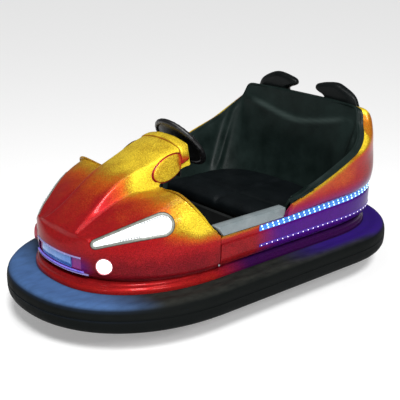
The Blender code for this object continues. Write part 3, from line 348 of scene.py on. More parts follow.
# ---------------------------------------------------------------- finishes
class Nodes:
    """A material's node tree with short ways to add what the finishes need."""

    def __init__(self, name: str) -> None:
        """Starts a material with a Principled shader."""
        self.material = bpy.data.materials.new(name)
        self.material.use_nodes = True
        self.tree = self.material.node_tree
        self.shader = self.tree.nodes["Principled BSDF"]

    def node(self, kind: str, **settings: object) -> Node:
        """Adds a node and sets its properties."""
        made = self.tree.nodes.new(kind)
        for key, value in settings.items():
            setattr(made, key, value)
        return made

    def link(self, start: NodeSocket, end: NodeSocket) -> None:
        """Joins two sockets."""
        self.tree.links.new(start, end)

    def feed(self, socket: NodeSocket, value: object) -> None:
        """Links a socket, or sets its constant."""
        if isinstance(value, NodeSocket):
            self.link(value, socket)
        else:
            socket.default_value = value

    def place(self, scale: Sequence[float] = (1.0, 1.0, 1.0)) -> NodeSocket:
        """Object coordinates, stretched."""
        source = self.node("ShaderNodeTexCoord")
        mapping = self.node("ShaderNodeMapping")
        mapping.inputs["Scale"].default_value = scale
        self.link(source.outputs["Object"], mapping.inputs["Vector"])
        return mapping.outputs["Vector"]

    def noise(self, scale: float, detail: float = 3.0, stretch: Sequence[float] = (1.0, 1.0, 1.0),
              rough: float = 0.5) -> NodeSocket:
        """Soft noise from 0 to 1 in object space."""
        made = self.node("ShaderNodeTexNoise")
        made.inputs["Scale"].default_value = scale
        made.inputs["Detail"].default_value = detail
        made.inputs["Roughness"].default_value = rough
        self.link(self.place(stretch), made.inputs["Vector"])
        return made.outputs["Fac"]

    def cells(self, scale: float, output: str = "Color") -> NodeSocket:
        """Voronoi cells in object space: a random colour or the distance in each."""
        made = self.node("ShaderNodeTexVoronoi")
        made.inputs["Scale"].default_value = scale
        self.link(self.place(), made.inputs["Vector"])
        return made.outputs[output]

    def attribute(self, name: str) -> NodeSocket:
        """A number stored on the piece's vertices."""
        return self.node("ShaderNodeAttribute", attribute_name=name).outputs["Fac"]

    def plus(self, first: object, second: object, clamp: bool = False) -> NodeSocket:
        """The sum of two values."""
        return self.figure("ADD", first, second, clamp)

    def times(self, first: object, second: object, clamp: bool = False) -> NodeSocket:
        """The product of two values."""
        return self.figure("MULTIPLY", first, second, clamp)

    def figure(self, operation: str, first: object, second: object, clamp: bool) -> NodeSocket:
        """A Math node."""
        made = self.node("ShaderNodeMath", operation=operation, use_clamp=clamp)
        self.feed(made.inputs[0], first)
        self.feed(made.inputs[1], second)
        return made.outputs[0]

    def span(self, value: NodeSocket, low: float, high: float, to_low: float = 0.0,
             to_high: float = 1.0) -> NodeSocket:
        """Map Range with its ends held."""
        made = self.node("ShaderNodeMapRange")
        self.link(value, made.inputs["Value"])
        for socket, number in (("From Min", low), ("From Max", high), ("To Min", to_low), ("To Max", to_high)):
            made.inputs[socket].default_value = number
        return made.outputs["Result"]

    def ramp(self, value: NodeSocket, stops: Sequence[tuple[float, Sequence[float]]]) -> NodeSocket:
        """A colour ramp."""
        made = self.node("ShaderNodeValToRGB")
        band = made.color_ramp
        while len(band.elements) < len(stops):
            band.elements.new(0.5)
        for element, (place, color) in zip(band.elements, stops):
            element.position = place
            element.color = (*color, 1.0)
        self.link(value, made.inputs["Fac"])
        return made.outputs["Color"]

    def mix(self, share: object, first: object, second: object) -> NodeSocket:
        """Mixes two colours."""
        made = self.node("ShaderNodeMix", data_type="RGBA")
        self.feed(made.inputs["Factor"], share)
        for name, value in (("A", first), ("B", second)):
            socket = next(s for s in made.inputs if s.name == name and s.type == "RGBA")
            self.feed(socket, value if isinstance(value, NodeSocket) else (*value, 1.0))
        return next(s for s in made.outputs if s.type == "RGBA")

    def bump(self, height: NodeSocket, strength: float, distance: float = 0.001) -> None:
        """Feeds the shader's normal from a height."""
        made = self.node("ShaderNodeBump")
        made.inputs["Strength"].default_value = strength
        made.inputs["Distance"].default_value = distance
        self.link(height, made.inputs["Height"])
        self.link(made.outputs["Normal"], self.shader.inputs["Normal"])

    def set(self, **values: object) -> None:
        """Sets or links the shader's sockets; an underscore in a name stands for a space."""
        for key, value in values.items():
            self.feed(self.shader.inputs[key.replace("_", " ")], value)


@dataclass(frozen=True)
class CandyPaint:
    """Metal-flake paint that runs from red through orange to gold, mixed towards violet for the strips' painted
    glow and, on the base ring, painted shade.
    """

    name: str
    deep: Triple = (0.12, 0.004, 0.006)
    red: Triple = (0.30, 0.009, 0.009)
    orange: Triple = (0.44, 0.070, 0.006)
    gold: Triple = (0.35, 0.19, 0.010)
    bright: Triple = (0.80, 0.58, 0.030)
    violet: Triple = (0.030, 0.004, 0.20)
    flake_scale: float = 560.0

    def make(self) -> Material:
        """Builds the material; pieces store how gold and how violet each place is."""
        paint = Nodes(self.name)
        spray = paint.times(paint.plus(paint.noise(330.0, 2.0), -0.5), 0.68)
        cloud = paint.times(paint.plus(paint.noise(16.0, 3.0), -0.5), 0.22)
        gold = paint.plus(paint.attribute("gold"), paint.plus(spray, cloud))
        color = paint.ramp(gold, (
            (0.0, self.deep), (0.20, self.red), (0.36, self.red),
            (0.60, self.orange), (0.80, self.gold), (1.0, self.bright)))
        glow = paint.plus(paint.attribute("violet"), paint.times(spray, 0.5), clamp=True)
        color = paint.mix(paint.times(glow, 0.92), color, self.violet)
        flake = paint.cells(self.flake_scale)
        spark = paint.span(flake, 0.10, 0.95, 0.55, 1.50)
        made = paint.node("ShaderNodeVectorMath", operation="SCALE")
        paint.link(color, made.inputs[0])
        paint.link(spark, made.inputs["Scale"])
        paint.set(Base_Color=made.outputs["Vector"], Metallic=0.30, Roughness=0.38,
                  Coat_Weight=0.50, Coat_Roughness=0.09, Coat_IOR=1.18, Specular_IOR_Level=0.03)
        return paint.material


@dataclass(frozen=True)
class WornRubber:
    """Black rubber with a scuffed grey top and light from the lamps and strips on it."""

    name: str = "bumper rubber"
    black: Triple = (0.004, 0.005, 0.005)
    grey: Triple = (0.022, 0.023, 0.020)
    blue: Triple = (0.060, 0.13, 0.30)
    violet: Triple = (0.030, 0.009, 0.17)

    def make(self) -> Material:
        """Builds the material from the piece's wear, blue and violet values."""
        rubber = Nodes(self.name)
        scuff = rubber.noise(34.0, 6.0, (1.0, 0.35, 1.0), 0.65)
        worn = rubber.times(rubber.attribute("wear"), rubber.span(scuff, 0.30, 0.66, 0.35, 1.15), clamp=True)
        color = rubber.mix(worn, self.black, self.grey)
        color = rubber.mix(rubber.times(rubber.attribute("blue"), rubber.span(scuff, 0.2, 0.7, 0.6, 1.0)),
                           color, self.blue)
        color = rubber.mix(rubber.times(rubber.attribute("violet"), rubber.span(scuff, 0.2, 0.7, 0.7, 1.0)),
                           color, self.violet)
        rubber.set(Base_Color=color, Specular_IOR_Level=0.03,
                   Roughness=rubber.span(scuff, 0.3, 0.7, 0.50, 0.70))
        grain = rubber.plus(rubber.noise(260.0, 4.0), rubber.times(scuff, 0.6))
        rubber.bump(grain, 0.22, 0.0012)
        return rubber.material


@dataclass(frozen=True)
class Vinyl:
    """Grained black-green vinyl."""

    name: str
    color: Triple = (0.004, 0.008, 0.007)
    pale: Triple = (0.012, 0.021, 0.019)
    roughness: Pair = (0.34, 0.50)
    grain: float = 0.25
    # Colour of the painted highlight along a crease.
    highlight_color: Triple = (0.040, 0.056, 0.052)

    def make(self) -> Material:
        """Builds the material: cell grain, soft cloud of wear, a painted highlight where a piece stores one, a
        slight sheen.
        """
        vinyl = Nodes(self.name)
        cloud = vinyl.noise(9.0, 5.0, rough=0.6)
        color = vinyl.mix(vinyl.span(cloud, 0.3, 0.75), self.color, self.pale)
        # The stored crease value mixes in the painted highlight colour.
        vinyl.set(Base_Color=vinyl.mix(vinyl.times(vinyl.attribute("rub"), 0.6), color, self.highlight_color),
                  Roughness=vinyl.span(cloud, 0.3, 0.7, *self.roughness), Specular_IOR_Level=0.11)
        cell = vinyl.cells(520.0, "Distance")
        height = vinyl.plus(cell, vinyl.times(vinyl.noise(120.0, 3.0), 0.7))
        vinyl.bump(height, self.grain, 0.0007)
        return vinyl.material


@dataclass(frozen=True)
class Speckle:
    """Any plain moulded or painted surface: two near colours in soft patches, with a fine grain."""

    name: str
    color: Triple
    other: Triple
    roughness: Pair = (0.4, 0.55)
    metallic: float = 0.0
    patch: float = 14.0
    grain: float = 380.0
    depth: float = 0.15
    coat: float = 0.0

    def make(self) -> Material:
        """Builds the material."""
        plain = Nodes(self.name)
        cloud = plain.noise(self.patch, 5.0, rough=0.6)
        plain.set(Base_Color=plain.mix(plain.span(cloud, 0.35, 0.7), self.color, self.other),
                  Roughness=plain.span(cloud, 0.3, 0.7, *self.roughness), Metallic=self.metallic,
                  Coat_Weight=self.coat)
        plain.bump(plain.noise(self.grain, 3.0), self.depth, 0.0006)
        return plain.material


@dataclass(frozen=True)
class Lit:
    """A lit surface: bright at heart, with a faint mottle."""

    name: str
    color: Triple
    other: Triple
    strength: float
    scale: float = 120.0

    def make(self) -> Material:
        """Builds the material with its glow."""
        lit = Nodes(self.name)
        shade = lit.mix(lit.span(lit.noise(self.scale, 2.0), 0.35, 0.65), self.color, self.other)
        lit.set(Base_Color=shade, Emission_Color=shade, Emission_Strength=self.strength, Roughness=0.25)
        return lit.material


@dataclass(frozen=True)
class ClearLens:
    """Clear moulded plastic over a lamp, with fine lines cut in it."""

    name: str = "lamp lens"
    color: Triple = (0.93, 0.95, 0.97)
    alpha: float = 0.22
    glow: float = 0.0

    def make(self) -> Material:
        """Builds the material."""
        lens = Nodes(self.name)
        streak = lens.noise(90.0, 2.0, (1.0, 0.2, 3.0))
        lens.set(Base_Color=lens.mix(streak, self.color, (0.80, 0.83, 0.86)), Roughness=0.06, Alpha=self.alpha,
                 Emission_Color=(*self.color, 1.0), Emission_Strength=self.glow, Coat_Weight=0.6)
        lens.bump(streak, 0.08, 0.0008)
        return lens.material


# ---------------------------------------------------------------- outlines
@dataclass(frozen=True)
class Outline:
    """A rounded outline seen from above: a power curve at nose and tail, straight sides between."""

    half: float
    nose: float
    tail: float
    nose_run: float
    tail_run: float
    nose_power: float = 2.2
    tail_power: float = 2.28

    def inset(self, depth: float) -> "Outline":
        """The outline drawn in by a depth on every side."""
        return Outline(self.half - depth, self.nose + depth, self.tail - depth, self.nose_run - depth,
                       self.tail_run - depth, self.nose_power, self.tail_power)

    def nose_points(self, share: Array, depth: Array | float = 0.0) -> Array:
        """x = half sin^(2/p), y = nose + run (1 - cos^(2/p)) of a quarter turn times the share.

        Args:
            share: 0 at the nose's middle, 1 where the side starts.
            depth: Inset, one or many.

        Returns:
            Points (x, y).
        """
        angle = np.asarray(share) * math.pi / 2
        power = 2 / self.nose_power
        x = (self.half - depth) * np.sin(angle) ** power
        y = self.nose + depth + (self.nose_run - depth) * (1 - np.cos(angle).clip(0) ** power)
        return np.stack(np.broadcast_arrays(x, y), -1)

    def tail_points(self, share: Array, depth: Array | float = 0.0) -> Array:
        """As nose_points, for the tail: 0 where the side ends, 1 at the tail's middle."""
        angle = np.asarray(share) * math.pi / 2
        power = 2 / self.tail_power
        x = (self.half - depth) * np.cos(angle).clip(0) ** power
        y = self.tail - depth - (self.tail_run - depth) * (1 - np.sin(angle) ** power)
        return np.stack(np.broadcast_arrays(x, y), -1)

    def right(self, places: Array) -> Array:
        """The left-hand half of the car's outline: places 0-1 nose, 1-2 side, 2-3 tail."""
        nose = self.nose_points(np.clip(places, 0, 1))
        tail = self.tail_points(np.clip(places - 2, 0, 1))
        side = np.clip(places - 1, 0, 1)[:, None]
        straight = nose * (1 - side) + tail * side
        return np.where(places[:, None] <= 1, nose, np.where(places[:, None] < 2, straight, tail))

    def places(self, count: int) -> Array:
        """Places that lie evenly along the half outline."""
        parts = (np.linspace(0, 1, 1200), np.linspace(1, 2, 40)[1:], np.linspace(2, 3, 1200)[1:])
        fine = np.concatenate(parts)
        along = lengths(self.right(fine))
        return np.interp(np.linspace(0, along[-1], count), along, fine)

    def loop(self, places: Array) -> Array:
        """The whole outline from places along its half, nose round by +X to tail and back."""
        half = self.right(places)
        return np.vstack([half, half[-2:0:-1] * (-1, 1)])


NOSE, TAIL, HALF = -0.975, 0.975, 0.553
BUMPER_BOTTOM, BUMPER_TOP, BASE_TOP = 0.114, 0.235, 0.280
OUTER = Outline(HALF, NOSE, TAIL, 0.640, 0.513)
BASE = Outline(HALF - 0.108, NOSE + 0.135, TAIL - 0.110, 0.550, 0.473, 2.3, 2.6)


def ring_grid(pairs: Sequence[tuple[Outline, float, float]], places: Array, each: int) -> Array:
    """A closed section carried round the car.

    Args:
        pairs: Outline, inset and height for each corner of the section, in order round it.
        places: Places along the half outline.
        each: Steps in each gap of the section.

    Returns:
        Grid of points: round the section by round the car.
    """
    rows = [level(line.inset(depth).loop(places), height) for line, depth, height in pairs]
    closed = np.array(rows + rows[:1])
    share = np.linspace(0, 1, each, endpoint=False)[:, None, None]
    steps = [a + (b - a) * share for a, b in zip(closed[:-1], closed[1:])]
    return np.concatenate(steps)


@dataclass
class BumperRing:
    """The rubber bumper that runs round the painted base ring."""

    stations: int = 170
    worn: float = 0.030
    finish: WornRubber = field(default_factory=WornRubber)

    def section(self) -> list[Pair]:
        """Outer side of the section as (inset, height): bottom lip, wall with a mould line, round top."""
        return [(0.034, 0.1142), (0.020, 0.1150), (0.009, 0.122), (0.003, 0.134), (0.0006, 0.150),
                (0.0002, 0.166), (0.0002, 0.1735), (0.0024, 0.1752), (0.0024, 0.1772), (0.0002, 0.1790),
                (0.0006, 0.190), (0.0026, 0.204), (0.007, 0.217), (0.015, 0.2270), (0.026, 0.2325),
                (0.040, 0.2346)]

    def build(self) -> None:
        """Builds the bumper: the section runs over the wall, dishes across the top and turns down inside."""
        places = OUTER.places(self.stations)
        outer = [level(OUTER.inset(d).loop(places), z) for d, z in self.section()]
        inner_top = level(BASE.inset(-0.0006).loop(places), BUMPER_TOP)
        top = []
        for share in np.linspace(0, 1, 14)[1:]:
            dish = 0.0030 * math.sin(math.pi * share) ** 2
            lip = 0.0020 * math.exp(-((share - 0.86) / 0.05) ** 2)
            row = outer[-1] * (1 - share) + inner_top * share
            row[:, 2] = np.interp(share, (0, 0.12), (outer[-1][0, 2], BUMPER_TOP - 0.0002)) - dish + lip * 0.1
            top.append(row)
        inner_low = inner_top.copy()
        inner_low[:, 2] = BUMPER_BOTTOM + 0.0002
        under = [inner_low, inner_low * 0.5 + outer[0] * 0.5]
        grid = np.array(outer + top + under)
        made = sheet("bumper_ring", grid, wrap_rows=True, wrap_columns=True)
        tidy(made, flat=50)

        def wear(place: Array, normal: Array) -> Array:
            """The flat top and its edge are worn, and the wall a little."""
            up = smoothstep(0.35, 0.95, normal[:, 2])
            edge = smoothstep(0.205, 0.232, place[:, 2])
            mid = bell(place[:, 2] - 0.190, 0.016) * 0.12
            return np.clip(up * edge + mid * (normal[:, 2] > -0.3), 0, 1)

        attribute(made, "wear", wear)
        # Painted blue light from the lamps at the nose, on the top's front.
        attribute(made, "blue", lambda p, n: smoothstep(0.4, 0.9, n[:, 2]) * smoothstep(-0.60, -0.86, p[:, 1]))

        def violet(place: Array, normal: Array) -> Array:
            """The strips' light on the top, behind the middle and away from the edge."""
            reach = np.maximum(abs(place[:, 0]) / HALF, place[:, 1] / TAIL)
            lit = smoothstep(0.4, 0.9, normal[:, 2]) * smoothstep(0.02, 0.40, place[:, 1])
            return lit * smoothstep(0.985, 0.90, reach)

        attribute(made, "violet", violet)
        place_piece(made, self.finish.make(), Slot.RUBBER, "bumper_tyre")


@dataclass
class BaseRing:
    """The red ring that the body stands on, with a rolled edge and a shadow groove."""

    stations: int = 160

    def build(self, paint: Material) -> None:
        """Builds the ring: its section is a half-round foot, a groove and a rounded shoulder."""
        places = BASE.places(self.stations)
        section = [(0.000, 0.2355), (-0.0002, 0.242), (0.0008, 0.249), (0.0035, 0.2545), (0.0065, 0.2580),
                   (0.0085, 0.2615), (0.0095, 0.2660), (0.0115, 0.2710), (0.0150, 0.2755), (0.0200, 0.2785),
                   (0.0270, 0.2798), (0.0500, 0.2799), (0.0500, 0.2355)]
        grid = ring_grid([(BASE, depth, height) for depth, height in section], places, 2)
        made = tidy(sheet("base_band", grid, wrap_rows=True, wrap_columns=True), flat=55)
        attribute(made, "gold", lambda p, n: 0.30 - 0.16 * smoothstep(0.252, 0.275, p[:, 2]))
        # Painted shade under the sill from the middle back, with the strips' painted light at the tail, in this
        # ring's dark violet.
        attribute(made, "violet", lambda p, n: smoothstep(-0.34, -0.10, p[:, 1]))
        place_piece(made, paint, Slot.RED, "base_ring")


# ---------------------------------------------------------------- front shell
SHELL_HALF, SHELL_NOSE = HALF - 0.090, NOSE + 0.150
SEAM_Y = NOSE + 0.672
SILL_Z, BELT_Z, LIP_Z = 0.430, 0.350, 0.295
NECK_INSET = 0.030
SHELL_WALL = 0.006
SHELL = Outline(SHELL_HALF, SHELL_NOSE, TAIL, 0.560, 0.3, 2.25)
HOOD_FRONT, HOOD_CUT, HOOD_END = NOSE + 0.180, NOSE + 0.585, NOSE + 0.760


@dataclass
class HoodLine:
    """Heights and half widths read along the hood from values at even stations."""

    foot_x: tuple[float, ...] = (0.126, 0.124, 0.128, 0.140, 0.156, 0.158, 0.156)
    foot_z: tuple[float, ...] = (0.486, 0.524, 0.556, 0.582, 0.584, 0.612, 0.652)
    ridge_x: tuple[float, ...] = (0.112, 0.098, 0.098, 0.108, 0.124, 0.135, 0.138)
    ridge_z: tuple[float, ...] = (0.498, 0.557, 0.609, 0.647, 0.678, 0.712, 0.738)
    spine_z: tuple[float, ...] = (0.502, 0.565, 0.621, 0.661, 0.694, 0.730, 0.758)

    def read(self, name: str, y: Array) -> Array:
        """One of the lines at places along the hood."""
        values = np.array(getattr(self, name))
        known = np.linspace(HOOD_FRONT, HOOD_END, len(values))
        fine = dense(np.column_stack([known, values]), 20)
        return np.interp(y, fine[:, 0], fine[:, 1])


@dataclass
class FrontShell:
    """Nose, hood and both front fenders as one moulded skin."""

    line: HoodLine = field(default_factory=HoodLine)
    fender_columns: int = 120
    round_rows: int = 30
    top_rows: int = 34
    hood_across: int = 44
    corner: float = 0.30
    seam_share: float = 0.965
    brow_drop: float = 0.034

    def cut_path(self, share: Array) -> Array:
        """The cockpit's front edge: a spline from the sill over the fender's crest to the hood's foot."""
        out = SHELL_HALF
        foot = (float(self.line.read("foot_x", HOOD_CUT)), HOOD_CUT, float(self.line.read("foot_z", HOOD_CUT)))
        points = [
            (out - 0.003, SEAM_Y, SILL_Z), (out - 0.010, NOSE + 0.625, 0.473),
            (out - 0.024, NOSE + 0.593, 0.520), (out - 0.045, NOSE + 0.566, 0.560),
            (out - 0.070, NOSE + 0.545, 0.593),
            (out - 0.110, NOSE + 0.535, 0.613), (out - 0.165, NOSE + 0.540, 0.610),
            (out - 0.235, NOSE + 0.558, 0.596), foot,
        ]
        return spline(np.array(points), np.clip(share, 0, 1) * (len(points) - 1))

    def shoulder(self, share: Array) -> Array:
        """Height of the fender's shoulder from the hood's corner to the seam."""
        return spline(np.array((0.470, 0.492, 0.530, 0.572, 0.608)), np.clip(share, 0, 1) * 4)

    def lower_rows(self) -> Array:
        """Inset and height of the rows under the belt: neck, rolled lip and swell."""
        key = np.array([(NECK_INSET, BASE_TOP + 0.0004), (NECK_INSET, LIP_Z - 0.004), (0.022, LIP_Z - 0.001),
                        (0.014, LIP_Z), (0.0075, LIP_Z + 0.004), (0.004, LIP_Z + 0.012),
                        (0.0015, LIP_Z + 0.032), (0.0, BELT_Z)])
        return dense(key, 3)

    def upper(self, start: Array, inner: Array, inner_z: Array, crest: Array, reach: Array) -> Array:
        """Rows over the shoulder and in to the hood.

        The shoulder is a quarter round: distance reach (1 - cos t), height rising by sin^0.9 t. Past it the
        distance grows evenly and the height eases from the crest to the hood's foot.

        Args:
            start: Outline points (n, 2).
            inner: Points at the hood (n, 2).
            inner_z: Their heights (n).
            crest: Shoulder heights (n).
            reach: How far in the shoulder's round goes (n).

        Returns:
            Points (rows, n, 3).
        """
        span = np.linalg.norm(inner - start, axis=1)
        turn = (np.linspace(0, 1, self.round_rows + 1)[1:] * math.pi / 2)[:, None]
        flat = np.linspace(0, 1, self.top_rows + 1)[1:, None]
        away = np.vstack([reach * (1 - np.cos(turn)), reach + (span - reach) * flat])
        ease = flat * flat * (3 - 2 * flat)
        height = np.vstack([BELT_Z + (crest - BELT_Z) * np.sin(turn) ** 0.9, crest + (inner_z - crest) * ease])
        plan = start + (inner - start) * (away / span)[..., None]
        return np.concatenate([plan, height[..., None]], -1)

    def fender(self) -> Array:
        """The fender's grid: rows from the neck to the hood's foot, columns from nose corner to cut edge."""
        step = np.linspace(0, 1, self.fender_columns)
        y = HOOD_FRONT + (HOOD_CUT - HOOD_FRONT) * step
        share = self.corner + (self.seam_share - self.corner) * step
        start = SHELL.nose_points(share)
        inner = np.stack([self.line.read("foot_x", y), y], -1)
        upper = self.upper(start, inner, self.line.read("foot_z", y), self.shoulder(step), 0.075 + 0.035 * step)
        round_share = np.linspace(0, 1, self.round_rows + 1)[1:]
        flat_share = np.linspace(0, 1, self.top_rows + 1)[1:]
        along = np.concatenate([(6 * round_share - 1) / 10, 0.5 + 0.5 * flat_share])
        edge = self.cut_path(along)[:, None]
        belt = np.concatenate([start, np.full((len(step), 1), BELT_Z)], -1)[None]
        early = np.clip((along + 0.1) / 0.1, 0, 1)[:, None, None]
        edge = np.where(along[:, None, None] < 0, belt + (self.cut_path(np.zeros(1))[0] - belt) * early, edge)
        first = int(np.argmin(abs(round_share - 1 / 6)))
        late = np.clip(along, 0, 1)[:, None, None]
        shift = early * ((1 - late) * (upper[first] - edge[first]) + late * (upper[-1] - edge[-1]))
        blend = (step**3)[None, :, None]
        upper = (1 - blend) * upper + blend * (edge + shift * (1 - blend))
        lower = self.lower_rows()
        plan = SHELL.nose_points(share[None, :], lower[:, 0][:, None])
        low = np.concatenate([plan, np.broadcast_to(lower[:, 1][:, None, None], plan.shape[:2] + (1,))], -1)
        return np.concatenate([low, upper])

    def over_hood(self, place: Array, y: Array) -> Array:
        """The hood's skin: a crowned top out to the ridge, then a flank down to the foot."""
        ridge, foot = self.line.read("ridge_x", y), self.line.read("foot_x", y)
        high, low, spine = (self.line.read(name, y) for name in ("ridge_z", "foot_z", "spine_z"))
        top = place[:, None] / 0.8
        flank = (place[:, None] - 0.8) / 0.2
        on_top = place[:, None] <= 0.8
        x = np.where(on_top, ridge * top, ridge + (foot - ridge) * flank)
        z = np.where(on_top, spine + (high - spine) * top**2, high + (low - high) * flank)
        return np.stack([x, np.broadcast_to(y, x.shape), z], -1)

    def hood(self, fender: Array) -> Array:
        """The hood's grid: rows from the middle out to the foot, columns up the nose and along the hood."""
        place = np.concatenate([np.linspace(0, 0.72, self.hood_across - 26), np.linspace(0.72, 1, 27)[1:]])
        lower = self.lower_rows()
        start = SHELL.nose_points(self.corner * place)
        front = self.over_hood(place, np.array([HOOD_FRONT]))[:, 0]
        crest, reach = np.full(len(place), 0.470), np.full(len(place), 0.030)
        upper = self.upper(start, front[:, :2], front[:, 2], crest, reach)
        plan = SHELL.nose_points(self.corner * place[None, :], lower[:, 0][:, None])
        low = np.concatenate([plan, np.broadcast_to(lower[:, 1][:, None, None], plan.shape[:2] + (1,))], -1)
        nose = np.concatenate([low, upper])
        y = np.concatenate([np.linspace(HOOD_FRONT, HOOD_CUT, self.fender_columns)[1:],
                            np.linspace(HOOD_CUT, HOOD_END, 40)[1:]])
        grid = np.concatenate([np.swapaxes(nose, 0, 1), self.over_hood(place, y)], 1)
        soft = grid.copy()
        for _ in range(5):
            soft[1:-1] = 0.25 * soft[:-2] + 0.5 * soft[1:-1] + 0.25 * soft[2:]
        weight = bell(place - 0.8, 0.05)[:, None, None]
        grid = grid * (1 - weight) + soft * weight
        grid[0, :, 0] = 0.0
        grid[-1, :len(fender)] = fender[:, 0]
        return grid

    def surface(self) -> tuple[Array, Array]:
        """Points and faces of the whole outer skin, both sides."""
        fender = self.fender()
        hood = self.hood(fender)
        top = hood[-1, len(fender) - 1:len(fender) - 1 + self.fender_columns]
        fender[-1] = top
        blocks = []
        for side in Side:
            blocks.append((hood * side.flip, quads(*hood.shape[:2])))
            blocks.append((fender * side.flip, quads(*fender.shape[:2])))
        return joined_points(blocks)

    @staticmethod
    def gold(place: Array, normal: Array) -> Array:
        """How gold the paint is: it grows to the rear, over the fender's rear and along the hood, with a
        painted highlight along the hood's flank and on the fender behind the lamp, and painted shade low on the
        sides.
        """
        x, y, z = abs(place[:, 0]), place[:, 1], place[:, 2]
        hood = smoothstep(-0.68, -0.42, y) * 0.66 + 0.14
        hood = hood + 0.20 * smoothstep(0.11, 0.04, x) * bell(y + 0.62, 0.10)
        # Painted highlight: a gold band along the hood's flank, from its middle back.
        flank_highlight_x = np.interp(y, (-0.65, -0.40, -0.22), (0.118, 0.142, 0.150))
        hood = hood + 0.30 * bell(x - flank_highlight_x, 0.018) * smoothstep(-0.58, -0.46, y)
        fender = smoothstep(-0.62, -0.40, y) * smoothstep(0.385, 0.485, z + 0.10 * (y + 0.42)) * 0.56
        back = smoothstep(0.14, 0.19, x)
        # Painted shade: the paint is darker low on the sides.
        base = 0.02 + 0.24 * smoothstep(0.34, 0.44, z)
        brown = 0.12 * smoothstep(0.13, 0.19, x) * smoothstep(-0.78, -0.62, y) * smoothstep(-0.40, -0.52, y)
        brown = brown * smoothstep(0.45, 0.50, z)
        # Painted highlight on the fender behind the lamp.
        fender_highlight = 0.34 * bell(y + 0.405, 0.055) * bell(z - 0.505, 0.040) * smoothstep(0.34, 0.40, x)
        return np.clip(base + (1 - back) * (hood - 0.14) + back * fender + brown + fender_highlight, 0, 1)

    def soften(self, made: Object) -> Array:
        """Rounds the brow over the nose and the hood's ridges, where a weight says how much.

        Args:
            made: The skin, changed in place.

        Returns:
            Its points afterwards.
        """
        place = points_of(made)
        x, y, z = abs(place[:, 0]), place[:, 1], place[:, 2]
        drop = smoothstep(0.24, 0.09, x) * smoothstep(0.39, 0.47, z) * smoothstep(-0.52, -0.76, y)
        place[:, 2] -= self.brow_drop * drop
        move_points(made, place)
        brow = bell(z - 0.465, 0.062) * smoothstep(-0.61, -0.71, y) * smoothstep(0.375, 0.41, z)
        brow = brow * (1 - 0.75 * smoothstep(0.19, 0.26, x))
        ridge = 0.45 * bell(x - self.line.read("ridge_x", y), 0.026) * smoothstep(-0.80, -0.72, y) * (z > 0.46)
        ridge = ridge * smoothstep(HOOD_END - 0.005, HOOD_END - 0.05, y)
        group = made.vertex_groups.new(name="soft")
        weight = np.clip(np.maximum(brow, ridge), 0, 1)
        for index in np.flatnonzero(weight > 0.01):
            group.add([int(index)], float(weight[index]), "REPLACE")
        step = made.modifiers.new("soften", "SMOOTH")
        step.factor, step.iterations, step.vertex_group = 0.5, 220, "soft"
        return points_of(bake(made))

    def build(self, paint: Material, openings: Sequence[Object]) -> Array:
        """Builds the shell and cuts the lamp and grille openings; returns the outer skin's points."""
        points, faces = self.surface()
        made = tidy(mesh_piece("front_skin", points, faces), 2e-5, 30)
        skin = self.soften(made)
        walled(made, SHELL_WALL, (0.0, -1.5, 0.30))
        for opening in openings:
            cut(made, opening)
        shaded(made, 34)
        attribute(made, "gold", self.gold)
        # Painted violet light from the nose's lit strip on the paint round the grille.
        attribute(made, "violet", lambda p, n: 0.75 * bell(p[:, 1] + 0.83, 0.05)
                  * bell(p[:, 2] - 0.335, 0.022) * smoothstep(0.24, 0.16, abs(p[:, 0])))
        place_piece(made, paint, Slot.RED, "front_body_shell")
        return skin


# ---------------------------------------------------------------- lamps and nose trim
@dataclass(frozen=True)
class Aim:
    """A flat frame set in the body: a centre, the way it looks, and the two directions across it."""

    centre: Triple
    direction: Triple

    def axes(self) -> tuple[Array, Array, Array, Array]:
        """Centre, outward direction, sideways and upward unit vectors."""
        out = unit(self.direction)
        aside = unit(np.cross(out, (0.0, 0.0, 1.0)))
        return np.array(self.centre), out, aside, np.cross(aside, out)

    def flat(self, point: Sequence[float]) -> Array:
        """A point's two coordinates across the frame."""
        centre, _, aside, above = self.axes()
        offset = np.array(point) - centre
        return np.array((offset @ aside, offset @ above))

    def solid(self, shape: Array, depth: float | Array) -> Array:
        """Points of a flat shape at a depth along the frame's direction."""
        centre, out, aside, above = self.axes()
        shape = np.asarray(shape)
        reach = np.broadcast_to(depth, shape.shape[:-1])[..., None]
        return centre + shape[..., :1] * aside + shape[..., 1:] * above + out * reach


def stretched_round(small: Array, small_radius: float, big: Array, big_radius: float, inset: float,
                    count: int = 40) -> Array:
    """Outline of two round ends joined by straight sides, drawn in by an inset and spaced evenly."""
    line = big - small
    distance = float(np.linalg.norm(line))
    heading = math.atan2(line[1], line[0])
    lean = math.acos((small_radius - big_radius) / distance)
    back = np.linspace(heading + lean, heading + 2 * math.pi - lean, 60)
    front = np.linspace(heading - lean, heading + lean, 60)
    ends = [centre + (radius - inset) * np.stack([np.cos(angle), np.sin(angle)], -1)
            for centre, radius, angle in ((small, small_radius, back), (big, big_radius, front))]
    around = np.vstack([*ends, ends[0][:1]])
    return evened(around, 2 * count + 1)[:-1]


def prism(name: str, aim: Aim, shape: Array, low: float, high: float, side: Side) -> Object:
    """A cutter: a flat outline carried from one depth to another, mirrored to its side."""
    rings = np.array([aim.solid(shape, low), aim.solid(shape, high)]) * side.flip
    count = len(shape)
    made = mesh_piece(name, rings, quads(2, count, wrap_columns=True), smooth=False)
    capped(made, outward=True)
    return made


def filled_rings(name: str, rings: Array) -> Object:
    """A surface through rings of points, the last ring closed to its middle."""
    rows, count = rings.shape[:2]
    last = rings[-1]
    inner = [last + (last.mean(axis=0) - last) * share for share in (0.35, 0.7, 0.97)]
    grid = np.concatenate([rings, np.array(inner)])
    made = mesh_piece(name, grid, quads(rows + 3, count, wrap_columns=True))
    shape = bmesh.new()
    shape.from_mesh(made.data)
    shape.verts.ensure_lookup_table()
    centre = shape.verts[(rows + 2) * count:(rows + 3) * count]
    bmesh.ops.contextual_create(shape, geom=centre)
    shape.to_mesh(made.data)
    shape.free()
    return made


